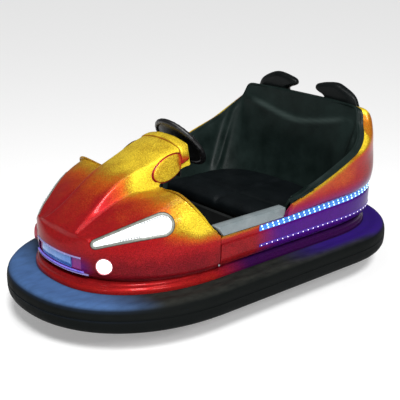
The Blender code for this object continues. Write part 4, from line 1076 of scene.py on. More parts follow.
@dataclass
class Headlamps:
    """The long tapered headlamps: a grey frame, a bright well with light bars, and a clear lens."""

    aim: Aim = Aim((HALF - 0.203, NOSE + 0.305, 0.505), (0.72, -0.52, 0.45))
    tip: Triple = (HALF - 0.283, NOSE + 0.177, 0.470)
    rear: Triple = (HALF - 0.153, NOSE + 0.415, 0.530)
    tip_radius: float = 0.022
    rear_radius: float = 0.052
    frame_width: float = 0.0125
    well: float = 0.020

    def outline(self, inset: float, count: int = 40) -> Array:
        """The lamp's outline in its frame, drawn in by an inset."""
        return stretched_round(self.aim.flat(self.tip), self.tip_radius, self.aim.flat(self.rear),
                               self.rear_radius, inset, count)

    def opening(self, side: Side) -> Object:
        """What the lamp takes out of the shell."""
        return prism("lamp_opening", self.aim, self.outline(0.0), -0.10, 0.10, side)

    def skin_depth(self, skin: Array, shape: Array) -> Array:
        """Depth of the shell's outer skin over each point of a flat shape: the highest near skin point."""
        centre, out, aside, above = self.aim.axes()
        offset = skin - centre
        flat = np.stack([offset @ aside, offset @ above], -1)
        depth = offset @ out
        near = (np.linalg.norm(flat, axis=1) < 0.26) & (depth > -0.08)
        flat, depth = flat[near], depth[near]
        gaps = ((shape.reshape(-1, 1, 2) - flat[None]) ** 2).sum(-1)
        order = np.argpartition(gaps, 6, axis=1)[:, :6]
        weight = 1.0 / (np.take_along_axis(gaps, order, 1) + 1e-8)
        return ((depth[order] * weight).sum(1) / weight.sum(1)).reshape(shape.shape[:-1])

    def over_skin(self, skin: Array, insets: Sequence[float], lifts: Sequence[float], side: Side) -> Array:
        """The lamp's outline at some insets, each lifted by its own amount over the shell's skin."""
        rows = np.array([self.outline(inset) for inset in insets])
        depth = np.array([self.skin_depth(skin, row) for row in rows]) + np.array(lifts)[:, None]
        return self.aim.solid(rows, depth) * side.flip

    def build(self, skin: Array, frame_finish: Material, glow: Material,
              lens: Material, bar: Material, housing: Material) -> None:
        """Builds both lamps on the shell's skin points."""
        frame_insets = (0.0006, 0.0022, 0.0042, 0.0062, self.frame_width - 0.0012, self.frame_width)
        proud = (-0.006, 0.0005, 0.0022, 0.0022, 0.0008, -0.004)
        for side in Side:
            rows = [self.outline(inset) for inset in frame_insets]
            depths = [self.skin_depth(skin, row) + lift for row, lift in zip(rows, proud)]
            back = [self.aim.solid(rows[-1], depths[-1] - 0.012), self.aim.solid(rows[0], depths[0] - 0.010)]
            front = [self.aim.solid(row, depth) for row, depth in zip(rows, depths)]
            grid = np.array(front + back) * side.flip
            frame_piece = sheet(f"headlamp_frame_{side.word}", grid, wrap_rows=True, wrap_columns=True)
            tidy(frame_piece, flat=40)
            place_piece(frame_piece, frame_finish, Slot.TRIM, f"headlight_frame_{side.word}")

            edge = self.frame_width
            rings = self.over_skin(skin, [edge + 0.0004 + step for step in (0.0, 0.0015, 0.0045, 0.009, 0.014)],
                                   (-0.0015, 0.0004, 0.0016, 0.0024, 0.0028), side)
            glass = tidy(filled_rings(f"headlamp_lens_{side.word}", rings))
            walled(glass, 0.002, (np.array(self.aim.centre) + self.aim.direction) * side.flip)
            place_piece(glass, lens, Slot.GLASS, f"headlight_lens_{side.word}")

            insets = [edge + 0.0006 + step for step in (0, 0.002, 0.008, 0.014)]
            rings = self.over_skin(skin, insets, (-0.0042, -0.012, -0.019, -0.021), side)
            place_piece(tidy(filled_rings(f"headlamp_well_{side.word}", rings)), glow, Slot.TRIM)
            rings = self.over_skin(skin, insets, (-0.0046, -0.0150, -0.0225, -0.0245), side)
            place_piece(tidy(filled_rings(f"headlamp_housing_{side.word}", rings)), housing, Slot.PLASTIC)
            self.bars(side, skin, bar)

    def bars(self, side: Side, skin: Array, finish: Material) -> None:
        """Rows of small light blocks along the lamp's edge, under the lens."""
        track = self.outline(self.frame_width + 0.0060, 30)
        tip, rear = self.aim.flat(self.tip), self.aim.flat(self.rear)
        line = (rear - tip) / np.linalg.norm(rear - tip)
        along = (track - tip) @ line
        upper = track[:, 1] > tip[1] + along * line[1]
        share = along / np.linalg.norm(rear - tip)
        run = np.roll(track, -1, 0) - track
        run = unit(run)
        over = np.stack([-run[:, 1], run[:, 0]], -1)
        keep = np.where(upper, (share > 0.72) & (share < 1.10), (share > 0.34) & (share < 0.66))
        track, run, over = track[keep], run[keep], over[keep]
        corner = np.array([(-1, -1), (1, -1), (1, 1), (-1, 1)]) * (0.0036, 0.0030)
        shape = track[:, None] + run[:, None] * corner[None, :, :1] + over[:, None] * corner[None, :, 1:]
        base = self.skin_depth(skin, track)[:, None]
        low = self.aim.solid(shape, np.broadcast_to(base - 0.0180, shape.shape[:2]))
        high = self.aim.solid(shape, np.broadcast_to(base - 0.0040, shape.shape[:2]))
        blocks = np.concatenate([low, high], 1) * side.flip
        cube = np.array([(4, 5, 6, 7), (0, 3, 2, 1), (0, 1, 5, 4), (1, 2, 6, 5), (2, 3, 7, 6), (3, 0, 4, 7)])
        faces = (cube[None] + 8 * np.arange(len(blocks))[:, None, None]).reshape(-1, 4)
        made = tidy(mesh_piece(f"headlamp_bars_{side.word}", blocks, faces), 1e-7)
        place_piece(made, finish, Slot.LED)


@dataclass
class FogLamps:
    """Round fog lamps low in the nose: a painted bezel, a bowl and a bright domed lens."""

    aim: Aim = Aim((HALF - 0.292, NOSE + 0.224, 0.352), (0.70, -0.71, 0.0))
    radius: float = 0.037

    def circle(self, radius: float) -> Array:
        """A circle in the lamp's frame."""
        angle = turns(56)
        return radius * np.stack([np.cos(angle), np.sin(angle)], -1)

    def opening(self, side: Side) -> Object:
        """What the lamp takes out of the shell."""
        return prism("fog_opening", self.aim, self.circle(self.radius), -0.06, 0.06, side)

    def build(self, bezel: Material, glow: Material, housing: Material) -> None:
        """Builds both lamps: profiles turned round the lamp's own axis."""
        for side in Side:
            turned = ((0.0364, -0.020), (0.0364, 0.002), (0.0355, 0.0042), (0.0338, 0.0048), (0.0322, 0.0036),
                      (0.0316, -0.0010), (0.0316, -0.020))
            grid = np.array([self.aim.solid(self.circle(r), d) for r, d in turned]) * side.flip
            ring = sheet(f"fog_bezel_{side.word}", grid, wrap_rows=True, wrap_columns=True)
            tidy(ring, flat=45)
            place_piece(ring, bezel, Slot.TRIM, f"fog_lamp_{side.word}")
            angle = np.linspace(0, math.pi / 2, 9)[:-1]
            dome = np.array([self.aim.solid(self.circle(0.0313 * math.cos(a)), 0.0065 * math.sin(a) - 0.001)
                             for a in angle]) * side.flip
            lens = filled_rings(f"fog_lens_{side.word}", dome)
            tidy(lens)
            place_piece(lens, glow, Slot.GLASS)
            bowl = [self.aim.solid(self.circle(r), d) for r, d in ((0.0355, -0.0195), (0.031, -0.0235))]
            cover = filled_rings(f"fog_housing_{side.word}", np.array(bowl) * side.flip)
            place_piece(tidy(cover), housing, Slot.PLASTIC)


@dataclass
class NoseGrille:
    """The nose slot: a blue plate between violet recesses, with bright trims above and below."""

    half: float = 0.165
    low: float = 0.316
    high: float = 0.366
    plate_half: float = 0.110

    def opening(self) -> Object:
        """What the grille takes out of the shell."""
        aim = Aim((0.0, SHELL_NOSE, 0.0), (0.0, -1.0, 0.0))
        half, low, high = self.half, self.low, self.high
        shape = np.array([(-half, low), (half, low), (half, high), (-half, high)])
        return prism("grille_opening", aim, shape, -0.08, 0.08, Side.LEFT)

    def across_nose(self, x: Array, out: Array | float) -> Array:
        """Points (x, y) on the nose's outline moved out by a distance: y read off the outline at x."""
        line = SHELL.nose_points(np.linspace(0, 0.75, 400))
        slope = np.interp(abs(x), line[:, 0], np.gradient(line[:, 1], line[:, 0]))
        y = np.interp(abs(x), line[:, 0], line[:, 1])
        tilt = np.sqrt(1 + slope**2)
        return np.stack([x + np.sign(x) * slope / tilt * out, y - out / tilt], -1)

    def strip(self, name: str, half: float, low: float, high: float, out: float, bulge: float) -> Object:
        """A band across the nose with a rounded face: z from low to high, bulging out by a sine."""
        x = np.linspace(-half, half, 60)
        face = [level(self.across_nose(x, out + bulge * math.sin(math.pi * share)), low + (high - low) * share)
                for share in np.linspace(0, 1, 9)]
        back = [level(self.across_nose(x, out - 0.006), z) for z in (high, low)]
        made = sheet(name, np.array(face + back), wrap_rows=True)
        capped(made)
        return tidy(made, flat=50)

    def build(self, plate: Material, recess: Material, trim: Material,
              glow: Material, housing: Material) -> None:
        """Builds the plate, the recesses and the trims."""
        half, low, high = self.half, self.low, self.high
        back = self.strip("grille_recess", half - 0.001, low + 0.0008, high - 0.0008, -0.0075, 0.0)
        place_piece(back, recess, Slot.GRILLE, "grille_panel")
        front = self.strip("grille_plate", self.plate_half, low + 0.002, high - 0.002, -0.004, 0.003)
        place_piece(front, plate, Slot.GRILLE)
        cover = self.strip("grille_housing", half + 0.008, low - 0.007, high + 0.007, -0.0145, 0.0)
        place_piece(cover, housing, Slot.PLASTIC)
        for name, finish, reach, foot, top, out in (
            ("upper", trim, 0.166, 0.3665, 0.3745, 0.0006),
            ("middle", glow, 0.176, 0.3085, 0.3140, 0.0006),
            ("lower", trim, 0.196, 0.2990, 0.3060, -0.0010),
        ):
            made = self.strip(f"grille_trim_{name}", reach, foot, top, out, 0.0035)
            place_piece(made, finish, Slot.TRIM)


@dataclass
class HoodCollar:
    """The raised band round the hood's rear end, its rounded rear lip, and the round covers on its flanks."""

    line: HoodLine
    front: float = HOOD_END - 0.046
    rise: float = 0.006

    def rim(self, y: float, lift: float) -> Array:
        """The hood's section at one station, lifted off the skin, from foot over the top to foot."""
        at = np.array([min(y, HOOD_END)])
        ridge, foot = float(self.line.read("ridge_x", at)[0]), float(self.line.read("foot_x", at)[0])
        high, low, spine = (float(self.line.read(n, at)[0]) for n in ("ridge_z", "foot_z", "spine_z"))
        start, middle = (foot + (ridge - foot) * share for share in (0.30, 0.68))
        key = [(start, low + (high - low) * 0.30), (middle, low + (high - low) * 0.68),
               (ridge - 0.002, high - 0.006), (ridge * 0.80, spine + (high - spine) * 0.70),
               (ridge * 0.4, spine - 0.002), (0.0, spine)]
        half = dense(np.array(key), 6)
        out = np.gradient(half, axis=0)
        normal = np.stack([-out[:, 1], out[:, 0]], -1) * -1
        normal = unit(normal)
        if normal[0, 0] < 0:
            normal = -normal
        normal[-1] = (0.0, 1.0)
        half = half + normal * lift
        half[-1, 0] = 0.0
        full = np.vstack([half, half[-2::-1] * (-1, 1)])
        return np.column_stack([full[:, 0], np.full(len(full), y), full[:, 1]])

    def build(self, paint: Material) -> None:
        """Builds the collar: lift over the skin eases up, runs level, rounds down over the rear lip."""
        rows = []
        for y, lift in ((self.front, 0.0004), (self.front + 0.002, 0.0036), (self.front + 0.005, self.rise),
                        (HOOD_END - 0.030, self.rise + 0.0005), (HOOD_END - 0.012, self.rise),
                        (HOOD_END - 0.004, 0.0030), (HOOD_END + 0.001, -0.0020), (HOOD_END + 0.002, -0.0085),
                        (HOOD_END - 0.004, -0.0120)):
            rows.append(self.rim(y, lift))
        grid = np.array(rows)
        made = tidy(sheet("hood_collar", grid), flat=50)
        walled(made, 0.0015, (0.0, -0.3, 2.0))
        made.data.shade_smooth()

        def gold(place: Array, normal: Array) -> Array:
            """Gold on top, with painted shade in the groove along the front edge."""
            top = smoothstep(0.655, 0.715, place[:, 2])
            # Painted shade in the groove ahead of the collar.
            line = smoothstep(self.front + 0.006, self.front, place[:, 1])
            return np.clip(0.22 + 0.72 * top - 0.25 * line, 0, 1)

        attribute(made, "gold", gold)
        attribute(made, "violet", lambda p, n: np.zeros(len(p)))
        place_piece(made, paint, Slot.RED)

    def covers(self, paint: Material) -> None:
        """The round covers on the hood's flanks: low domes cut off at the hood's rear edge."""
        radius, squash = 0.082, 0.94

        def groove(place: Array) -> Array:
            """1 in the groove round a cover, 0 on its face."""
            low, high = self.line.read("foot_z", place[:, 1]), self.line.read("ridge_z", place[:, 1])
            tall = ((place[:, 2] - low) / (high - low) - 0.02) / squash * 2 - 1
            return smoothstep(0.965, 1.0, np.hypot((place[:, 1] + 0.325) / radius, tall))

        for side in Side:
            angle = turns(72)
            rows = []
            for share, lift in ((1.08, 0.0006), (1.04, 0.0007), (1.0, 0.0030), (0.97, 0.0046), (0.90, 0.0056),
                                (0.7, 0.0064), (0.45, 0.0068), (0.2, 0.0070), (0.02, 0.0070)):
                y = -0.325 + radius * share * np.cos(angle)
                rise = 0.5 + 0.5 * np.sin(angle) * share
                y = np.minimum(y, -0.240 - 0.035 * (1 - rise))
                low = self.line.read("foot_z", y)
                high = self.line.read("ridge_z", y)
                foot, ridge = self.line.read("foot_x", y), self.line.read("ridge_x", y)
                at = 0.02 + rise * squash
                x = foot + (ridge - foot) * at + lift
                rows.append(np.stack([x * side.value, y, low + (high - low) * at], -1))
            grid = np.array(rows)
            made = sheet(f"hood_cover_{side.word}", grid, wrap_columns=True)
            tidy(made, 1e-6, 50)
            # Painted shade in the groove round each cover, and a painted shadow on its rear part where it meets
            # the cockpit's edge.
            attribute(made, "gold", lambda p, n: 0.90 - 0.80 * groove(p)
                      - 0.75 * smoothstep(-0.285, -0.250, p[:, 1]))
            attribute(made, "violet", lambda p, n: np.zeros(len(p)))
            place_piece(made, paint, Slot.GOLD)


# ---------------------------------------------------------------- rear shell and light strips
STRIP_LOW_Z, STRIP_HIGH_Z, STRIP_RISE = (0.322, 0.338), (0.397, 0.427), 0.034
STRIP_START, PAD_BACK = SEAM_Y + 0.218, SEAM_Y + 0.380
LOW = Outline(HALF - 0.098, NOSE, TAIL - 0.125, 0.6, 0.510, 2.2, 3.0)
HIGH = Outline(HALF - 0.053, NOSE, TAIL - 0.105, 0.6, 0.587, 2.2, 3.0)
RIM_HALF, BACK_HALF, BACK_Y, BACK_TOP = HALF - 0.060, HALF - 0.179, TAIL - 0.339, 0.812


def rim_at(share: Array) -> Array:
    """The rear shell's top edge: a spline from the sill pad's end round to the tail's middle."""
    key = np.array([
        (RIM_HALF - 0.003, PAD_BACK, 0.492), (RIM_HALF + 0.006, PAD_BACK + 0.150, 0.540),
        (RIM_HALF + 0.002, PAD_BACK + 0.325, 0.600), (RIM_HALF - 0.007, BACK_Y - 0.136, 0.637),
        (RIM_HALF - 0.019, BACK_Y - 0.086, 0.668), (RIM_HALF - 0.051, BACK_Y - 0.036, 0.715),
        (BACK_HALF + 0.022, BACK_Y - 0.006, 0.765), (BACK_HALF, BACK_Y + 0.004, BACK_TOP - 0.003),
        (BACK_HALF * 0.55, BACK_Y + 0.012, BACK_TOP), (0.0, BACK_Y + 0.014, BACK_TOP),
    ])
    fine = dense(key, 16)
    place = lengths(fine)
    place /= place[-1]
    return np.stack([np.interp(share, place, fine[:, axis]) for axis in range(3)], -1)


@dataclass
class RearShell:
    """Sides and tail as one skin, from the seam behind the front shell round the tail."""

    tail_steps: int = 13
    each: int = 6

    def stations(self) -> tuple[Array, Array, Array, int]:
        """Low outline, high outline and rim at each control station, and how many lie under the pad."""
        start = np.linspace(SEAM_Y + 0.0008, STRIP_START, 3)
        middle = np.linspace(STRIP_START, PAD_BACK - 0.025, 3)[1:]
        ys = np.concatenate([start, middle, np.linspace(PAD_BACK, LOW.tail - LOW.tail_run, 4)])
        shares = np.linspace(0, 1, self.tail_steps)[1:]
        low = np.vstack([np.column_stack([np.full(len(ys), LOW.half), ys]), LOW.tail_points(shares)])
        high_y = np.interp(ys, (ys[0], ys[-1]), (ys[0], HIGH.tail - HIGH.tail_run))
        high = np.vstack([np.column_stack([np.full(len(ys), HIGH.half), high_y]), HIGH.tail_points(shares)])
        pads = int((ys < PAD_BACK - 0.001).sum())
        rim = rim_at(np.linspace(0, 1, len(low) - pads))
        sill = np.column_stack([np.full(pads, HIGH.half - 0.042), ys[:pads], np.full(pads, SILL_Z)])
        return low, high, np.vstack([sill, rim]), pads

    def control(self) -> tuple[Array, int]:
        """Control grid of the outer skin: rows up from the neck to the rim, columns along the stations."""
        low, high, rim, pads = self.stations()
        count = len(low)
        around = np.gradient(low, axis=0)
        normal = np.column_stack([around[:, 1], -around[:, 0]])
        normal = unit(normal)
        normal[-1] = (0, 1)
        way = np.clip((np.arange(count) - pads) / (count - pads - 1), 0, 1)
        lift = STRIP_RISE * way
        top = STRIP_HIGH_Z[1] + lift
        tall = rim[:, 2] - top
        shelf = 0.010 + 0.042 * np.clip((rim[:, 2] - 0.62) / 0.15, 0, 1)
        slope = 0.003 + 0.019 * np.clip((rim[:, 2] - 0.58) / 0.15, 0, 1)
        under = smoothstep(0.30, 0.75, way)

        def row(out: float, z: Array | float, share: Array | float = 0.0) -> Array:
            """The low outline moved out, and a share of the way to the high one, at a height."""
            ease = np.broadcast_to(share, count)[:, None]
            return level(low + normal * out + (high - low) * ease, z)

        rows = [row(-NECK_INSET, BASE_TOP + 0.0004), row(-NECK_INSET, LIP_Z - 0.003), row(-0.010, LIP_Z),
                row(0.000, LIP_Z + 0.010), row(0.006, STRIP_LOW_Z[0]), row(0.008, STRIP_LOW_Z[1]),
                row(0.010, STRIP_HIGH_Z[0] - 0.012 + lift), row(0.006, STRIP_HIGH_Z[0] + lift),
                row(0.008, top)]
        blocks = [
            row(0.010, top + 0.002, 0.10),
            row(0.002, top + 0.012 + 0.030 * way + 0.014 * under, 0.78 - 0.30 * under),
            level(0.88 * high + 0.12 * (rim[:, :2] + normal * 0.010), top + 0.30 * tall),
            level(0.76 * high + 0.24 * (rim[:, :2] + normal * 0.014), top + 0.62 * tall),
            level(rim[:, :2] + normal * shelf[:, None], rim[:, 2] - slope),
        ]
        sill = np.arange(count) < pads
        for number, block in enumerate(blocks):
            share = number / 5
            block[sill, 2] = SILL_Z - 0.002
            block[sill, :2] = rows[8][sill, :2] * (1 - share) + rim[sill, :2] * share
            rows.append(block)
        rows.append(rim.copy())
        grid = np.array(rows)
        grid[9:, :pads, 2] = np.maximum(grid[9:, :pads, 2], STRIP_HIGH_Z[1] + 0.002)
        grid[:, -1, 0] = 0.0
        return grid, pads

    def fine(self) -> Array:
        """The control grid made fine: splines along the rows, and along the stations on each side of the
        step at the pad's end."""
        grid, pads = self.control()
        rows = dense(grid, self.each)
        front = across(rows[:, :pads], lambda block: dense(block, self.each * 2))
        back = across(rows[:, pads:], lambda block: dense(block, self.each * 2))
        half = np.concatenate([front, back], 1)
        half[:, -1, 0] = 0.0
        return half

    @staticmethod
    def gold(place: Array, normal: Array) -> Array:
        """How gold the paint is: gold along the rim and at the rear corner, red below."""
        y, z = place[:, 1], place[:, 2]
        rim = np.interp(y, (-0.30, 0.07, 0.08, 0.225, 0.40, 0.50, 0.55, 0.60, 0.62),
                        (0.43, 0.43, 0.492, 0.54, 0.60, 0.637, 0.668, 0.715, 0.80))
        edge = bell(z - rim, 0.010) * smoothstep(0.06, 0.08, y)
        corner = smoothstep(0.60, 0.69, z) * smoothstep(0.71, 0.665, y) * smoothstep(0.46, 0.54, y)
        side = smoothstep(0.43, 0.56, z) * 0.30 * smoothstep(0.66, 0.42, y)
        sill = smoothstep(0.395, 0.428, z) * smoothstep(0.05, -0.16, y) * 0.55
        deep = 0.17 * smoothstep(0.40, 0.62, y)
        low = 0.12 + 0.12 * smoothstep(0.37, 0.46, z)
        return np.clip(low - deep + side + 0.32 * edge + 0.62 * corner + sill, 0, 1)

    @staticmethod
    def violet(place: Array, normal: Array) -> Array:
        """How violet the paint is: the strips' painted light, near the strips and all below them."""
        y, z = place[:, 1], place[:, 2]
        lift = STRIP_RISE * np.clip((y - PAD_BACK) / 0.75, 0, 1)
        below = smoothstep(0.425, 0.385, z - lift) * 0.92
        above = bell(np.clip(z - lift - 0.427, 0, 1), 0.030) * 0.70
        along = smoothstep(-0.13, 0.06, y)
        return np.where(z - lift < 0.425, below, above) * along

    def build(self, paint: Material) -> None:
        """Builds the skin with its wall."""
        half = self.fine()
        left = half[:, -2::-1] * (-1, 1, 1)
        grid = np.concatenate([half, left], 1)
        made = tidy(sheet("rear_skin", grid), 2e-5, 34)
        walled(made, SHELL_WALL, Vector(made.data.polygons[0].center) + Vector((0.3, 0.0, -0.1)))
        shaded(made, 38)
        attribute(made, "gold", self.gold)
        attribute(made, "violet", self.violet)
        place_piece(made, paint, Slot.GOLD, "rear_body_shell")


@dataclass
class LightStrips:
    """The light strips along the sides and round the tail: a clear channel with small domed lights."""

    shell: RearShell
    pitch: float = 0.0325
    dome: float = 0.0047

    def patch(self, row: int) -> Array:
        """The part of the shell's skin that one strip covers, half the car."""
        band = self.shell.control()[0][row:row + 2, 2:]
        fine = across(dense(band, 4), lambda block: dense(block, 10))
        fine[:, -1, 0] = 0.0
        return fine

    @staticmethod
    def normals(band: Array) -> Array:
        """Outward unit normals over a grid."""
        around = np.gradient(band, axis=1)
        up = np.gradient(band, axis=0)
        normal = np.cross(around, up)
        return unit(normal)

    def channel(self, name: str, row: int, finish: Material) -> None:
        """The channel: the band pushed out by a rounded section, both sides."""
        band = self.patch(row)
        normal = self.normals(band)
        share = np.linspace(0, 1, len(band))[:, None, None]
        bulge = 0.0006 + 0.0022 * np.sin(math.pi * share) ** 0.5
        outer = band + normal * bulge
        inner = band[::-1] + normal[::-1] * 0.0003
        half = np.concatenate([outer, inner])
        half[:, -1, 0] = 0.0
        for side in Side:
            grid = half * side.flip
            made = sheet(f"strip_{name}_{side.word}", grid, wrap_rows=True)
            capped(made)
            tidy(made, 1e-7, 60)
            place_piece(made, finish, Slot.LED, f"led_strip_{name}_{side.word}")

    def lights(self, name: str, row: int, places: Sequence[Pair], finish: Material,
               dome: float) -> None:
        """The lights: a low dome at every pitch along the strip.

        Args:
            name: The strip's name.
            row: Its row on the shell.
            places: For each line of lights, its share of the strip's height and its start in pitches.
            finish: Their lit finish.
            dome: Radius of one light.
        """
        band = self.patch(row)
        normal = self.normals(band)
        angle = turns(8)
        rings = ((1.0, 0.0), (0.72, 0.62), (0.02, 0.9))
        template = np.array([(r * math.cos(a), r * math.sin(a), h) for r, h in rings for a in angle]) * dome
        patch_faces = quads(3, 8, wrap_columns=True)
        for side in Side:
            points, count = [], 0
            for share, start in places:
                at = share * (len(band) - 1)
                low = int(at)
                line = band[low] * (1 - at + low) + band[low + 1] * (at - low)
                out = normal[low]
                along = lengths(line)
                want = np.arange(start * self.pitch + 0.012, along[-1] - 0.002, self.pitch)
                centre = np.stack([np.interp(want, along, line[:, k]) for k in range(3)], -1)
                face = np.stack([np.interp(want, along, out[:, k]) for k in range(3)], -1)
                face = unit(face)
                run = np.stack([np.interp(want, along, np.gradient(line[:, k])) for k in range(3)], -1)
                run = unit(run)
                rise = np.cross(face, run)
                local = (template[None, :, :1] * run[:, None] + template[None, :, 1:2] * rise[:, None]
                         + template[None, :, 2:] * face[:, None])
                points.append((centre[:, None] + face[:, None] * 0.0012 + local).reshape(-1, 3))
                count += len(want)
            vertices = np.vstack(points) * side.flip
            faces = (patch_faces[None] + 24 * np.arange(count)[:, None, None]).reshape(-1, 4)
            made = tidy(mesh_piece(f"lights_{name}_{side.word}", vertices, faces), 1e-7, 70)
            place_piece(made, finish, Slot.LED)

    def build(self, upper: Material, lower: Material, bright: Material,
              soft: Material) -> None:
        """Builds both strips on both sides."""
        self.channel("upper", 7, upper)
        self.channel("lower", 4, lower)
        self.lights("upper", 7, ((0.72, 0.0), (0.26, 0.22)), bright, self.dome)
        self.lights("lower", 4, ((0.5, 0.0),), soft, self.dome * 0.66)


# ---------------------------------------------------------------- pads, seat and horns
@dataclass
class SillPads:
    """Grey step pads with a ribbed top face and a rounded outer edge."""

    height: float = 0.044
    width: float = 0.055

    def build(self, finish: Material) -> None:
        """Builds both pads: a rounded section carried along the sill, leaning back a little."""
        out = HIGH.half - 0.028
        bottom, top = SILL_Z + 0.0014, SILL_Z + 0.0004 + self.height
        inner = out - self.width
        section = np.array([
            (out - 0.012, bottom), (out - 0.002, bottom + 0.001), (out, bottom + 0.005),
            (out - 0.0015, bottom + 0.020), (out - 0.0028, top - 0.010), (out - 0.0050, top - 0.0035),
            (out - 0.0095, top - 0.0006), (out - 0.0140, top - 0.0022), (out - 0.0175, top - 0.0022),
            (out - 0.0200, top - 0.0002), (inner + 0.008, top), (inner + 0.001, top - 0.004),
            (inner, bottom + 0.004), (inner + 0.004, bottom),
        ])
        rise = (section[:, 1] - bottom) / (top - bottom)
        share = np.concatenate([[0.0, 0.004], np.linspace(0.012, 0.988, 40), [0.996, 1.0]])
        shrink = np.concatenate([[0.80, 0.95], np.ones(40), [0.95, 0.80]])
        middle = section.mean(axis=0)
        front, back = SEAM_Y + 0.004, PAD_BACK - 0.020
        tilt = -0.026 + 0.038 * share
        for side in Side:
            shape = middle + (section - middle) * shrink[:, None, None]
            y = (front + (back - front) * share)[:, None] + tilt[:, None] * rise[None]
            grid = np.stack([shape[..., 0] * side.value, y, shape[..., 1]], -1)
            made = sheet(f"step_pad_{side.word}", grid, wrap_columns=True)
            capped(made)
            tidy(made, 1e-6, 50)
            place_piece(made, finish, Slot.PAD, f"sill_pad_{side.word}")


BENCH_Z, BENCH_FRONT, BENCH_HALF = 0.330, TAIL - 0.925, HALF - 0.168
SEAT_FOOT = Outline(BENCH_HALF, NOSE, BACK_Y - 0.080, 0.3, 0.30, 2.2, 3.0)


@dataclass
class SeatTub:
    """The moulded seat shell that wraps the riders, with its creases and folds."""

    wall: float = 0.010
    columns: int = 15
    heights: tuple[float, ...] = (0.0, 0.25, 0.5, 0.75, 0.93, 1.0)

    def control(self) -> Array:
        """Control grid of the inner face, left half: rows from the bench up to just over the rim."""
        count = self.columns
        rim = rim_at(np.linspace(0, 1, count))
        inward = np.column_stack([np.zeros(count), np.full(count, BENCH_FRONT + 0.25)]) - rim[:, :2]
        inward = unit(inward)
        top = rim.copy()
        top[:, :2] += inward * (SHELL_WALL + 0.018 + 0.006)
        top[:, 2] += 0.012
        side = np.column_stack([np.full(5, SEAT_FOOT.half),
                                np.linspace(PAD_BACK - 0.02, SEAT_FOOT.tail - SEAT_FOOT.tail_run, 5)])
        low = np.vstack([side, SEAT_FOOT.tail_points(np.linspace(0, 1, count - 4)[1:])])
        base = level(low, BENCH_Z + 0.0006)
        rows = []
        for share in self.heights:
            row = base + (top - base) * share
            row[:, :2] -= inward * math.sin(share * math.pi) * 0.006
            rows.append(row)
        share = np.linspace(0, 1, count)
        tail = smoothstep(0.66, 0.84, share)
        for back, lift, reach in ((0.020, 0.0130, 0.0), (0.010, 0.0125, 0.006), (0.0015, 0.0080, 0.016),
                                  (-0.0012, 0.0025, 0.020)):
            lip = rim.copy()
            lip[:, :2] += inward * (back - reach * tail)[:, None]
            lip[:, 2] += lift * (0.30 + 0.70 * tail)
            rows.append(lip)
        grid = np.array(rows)
        grid[:, -1, 0] = 0.0
        return grid

    def folds(self, up: Array, around: Array) -> Array:
        """Height of the creases and folds over the face, in metres towards the riders.

        Args:
            up: 0 at the bench, 1 at the rim.
            around: -1 at the left-hand front end, 0 at the back's middle, 1 at the right-hand front end.

        Returns:
            The push for each point of the grid.
        """
        back = smoothstep(0.40, 0.30, abs(around))
        line = 0.745 + 0.11 * np.minimum(abs(around) / 0.33, 1.2) ** 1.3
        push = 0.015 * smoothstep(-0.004, 0.034, line - up) * smoothstep(0.25, 0.65, up)
        push += 0.005 * bell(up - line + 0.012, 0.016)
        vee = push * back
        fold = np.zeros_like(up)
        for sign in (-1, 1):
            lean = sign * (0.462 + 0.13 * (1 - up))
            hold = smoothstep(0.02, 0.30, up) * smoothstep(1.0, 0.85, up)
            fold += 0.017 * bell(around - lean, 0.026) * hold
            fold -= 0.007 * bell(around - lean - sign * 0.060, 0.030) * hold
            fold += 0.014 * bell(around - sign * 0.93, 0.05) * bell(up - 0.62, 0.28)
        hollow = -0.006 * bell(abs(around) - 0.17, 0.09) * bell(up - 0.35, 0.2)
        ripple = 0.0012 * np.sin(around * 23.0 + 3.0 * up) * np.sin(up * 11.0 + 2.0) * smoothstep(1.0, 0.85, up)
        return vee + fold + hollow + ripple

    def build(self, finish: Material) -> None:
        """Builds the shell: the fine face pushed by its folds, then given its wall and a rolled top edge."""
        rows = dense(self.control(), 9)
        half = across(rows, lambda block: dense(block, 10))
        half[:, -1, 0] = 0.0
        grid = np.concatenate([half, half[:, -2::-1] * (-1, 1, 1)], 1)
        known = np.concatenate([self.heights, np.ones(4)])
        steps = np.interp(np.linspace(0, len(known) - 1, grid.shape[0]), np.arange(len(known)), known)
        up = steps[:, None] * np.ones((1, grid.shape[1]))
        along = lengths(grid[-1])
        around = np.broadcast_to(2 * along / along[-1] - 1, up.shape)
        span = np.gradient(grid, axis=1)
        rise = np.gradient(grid, axis=0)
        normal = np.cross(rise, span)
        normal = unit(normal)
        inside = np.array((0.0, 0.15, 0.55)) - grid
        normal *= np.sign((normal * inside).sum(-1))[..., None]
        grid = grid + normal * self.folds(up, around)[..., None]
        made = tidy(sheet("seat_tub", grid), 1e-6, 60)
        centre = Vector(made.data.polygons[0].center)
        walled(made, self.wall, centre + (Vector((0.0, 0.15, 0.55)) - centre) * 0.5)
        edge = made.modifiers.new("edge", "BEVEL")
        edge.width, edge.segments, edge.angle_limit = 0.005, 3, math.radians(60)
        bake(made)
        made.data.shade_smooth()

        def rub(place: Array, normal: Array) -> Array:
            """A painted highlight along the fold under the head rest."""
            x, height = abs(place[:, 0]), (place[:, 2] - BENCH_Z) / (BACK_TOP + 0.012 - BENCH_Z)
            line = 0.735 + 0.11 * np.minimum(x / 0.30, 1.2) ** 1.3
            return bell(height - line, 0.016) * smoothstep(0.34, 0.24, x) * (normal[:, 1] < -0.2)

        attribute(made, "rub", rub)
        place_piece(made, finish, Slot.VINYL, "seat_shell")


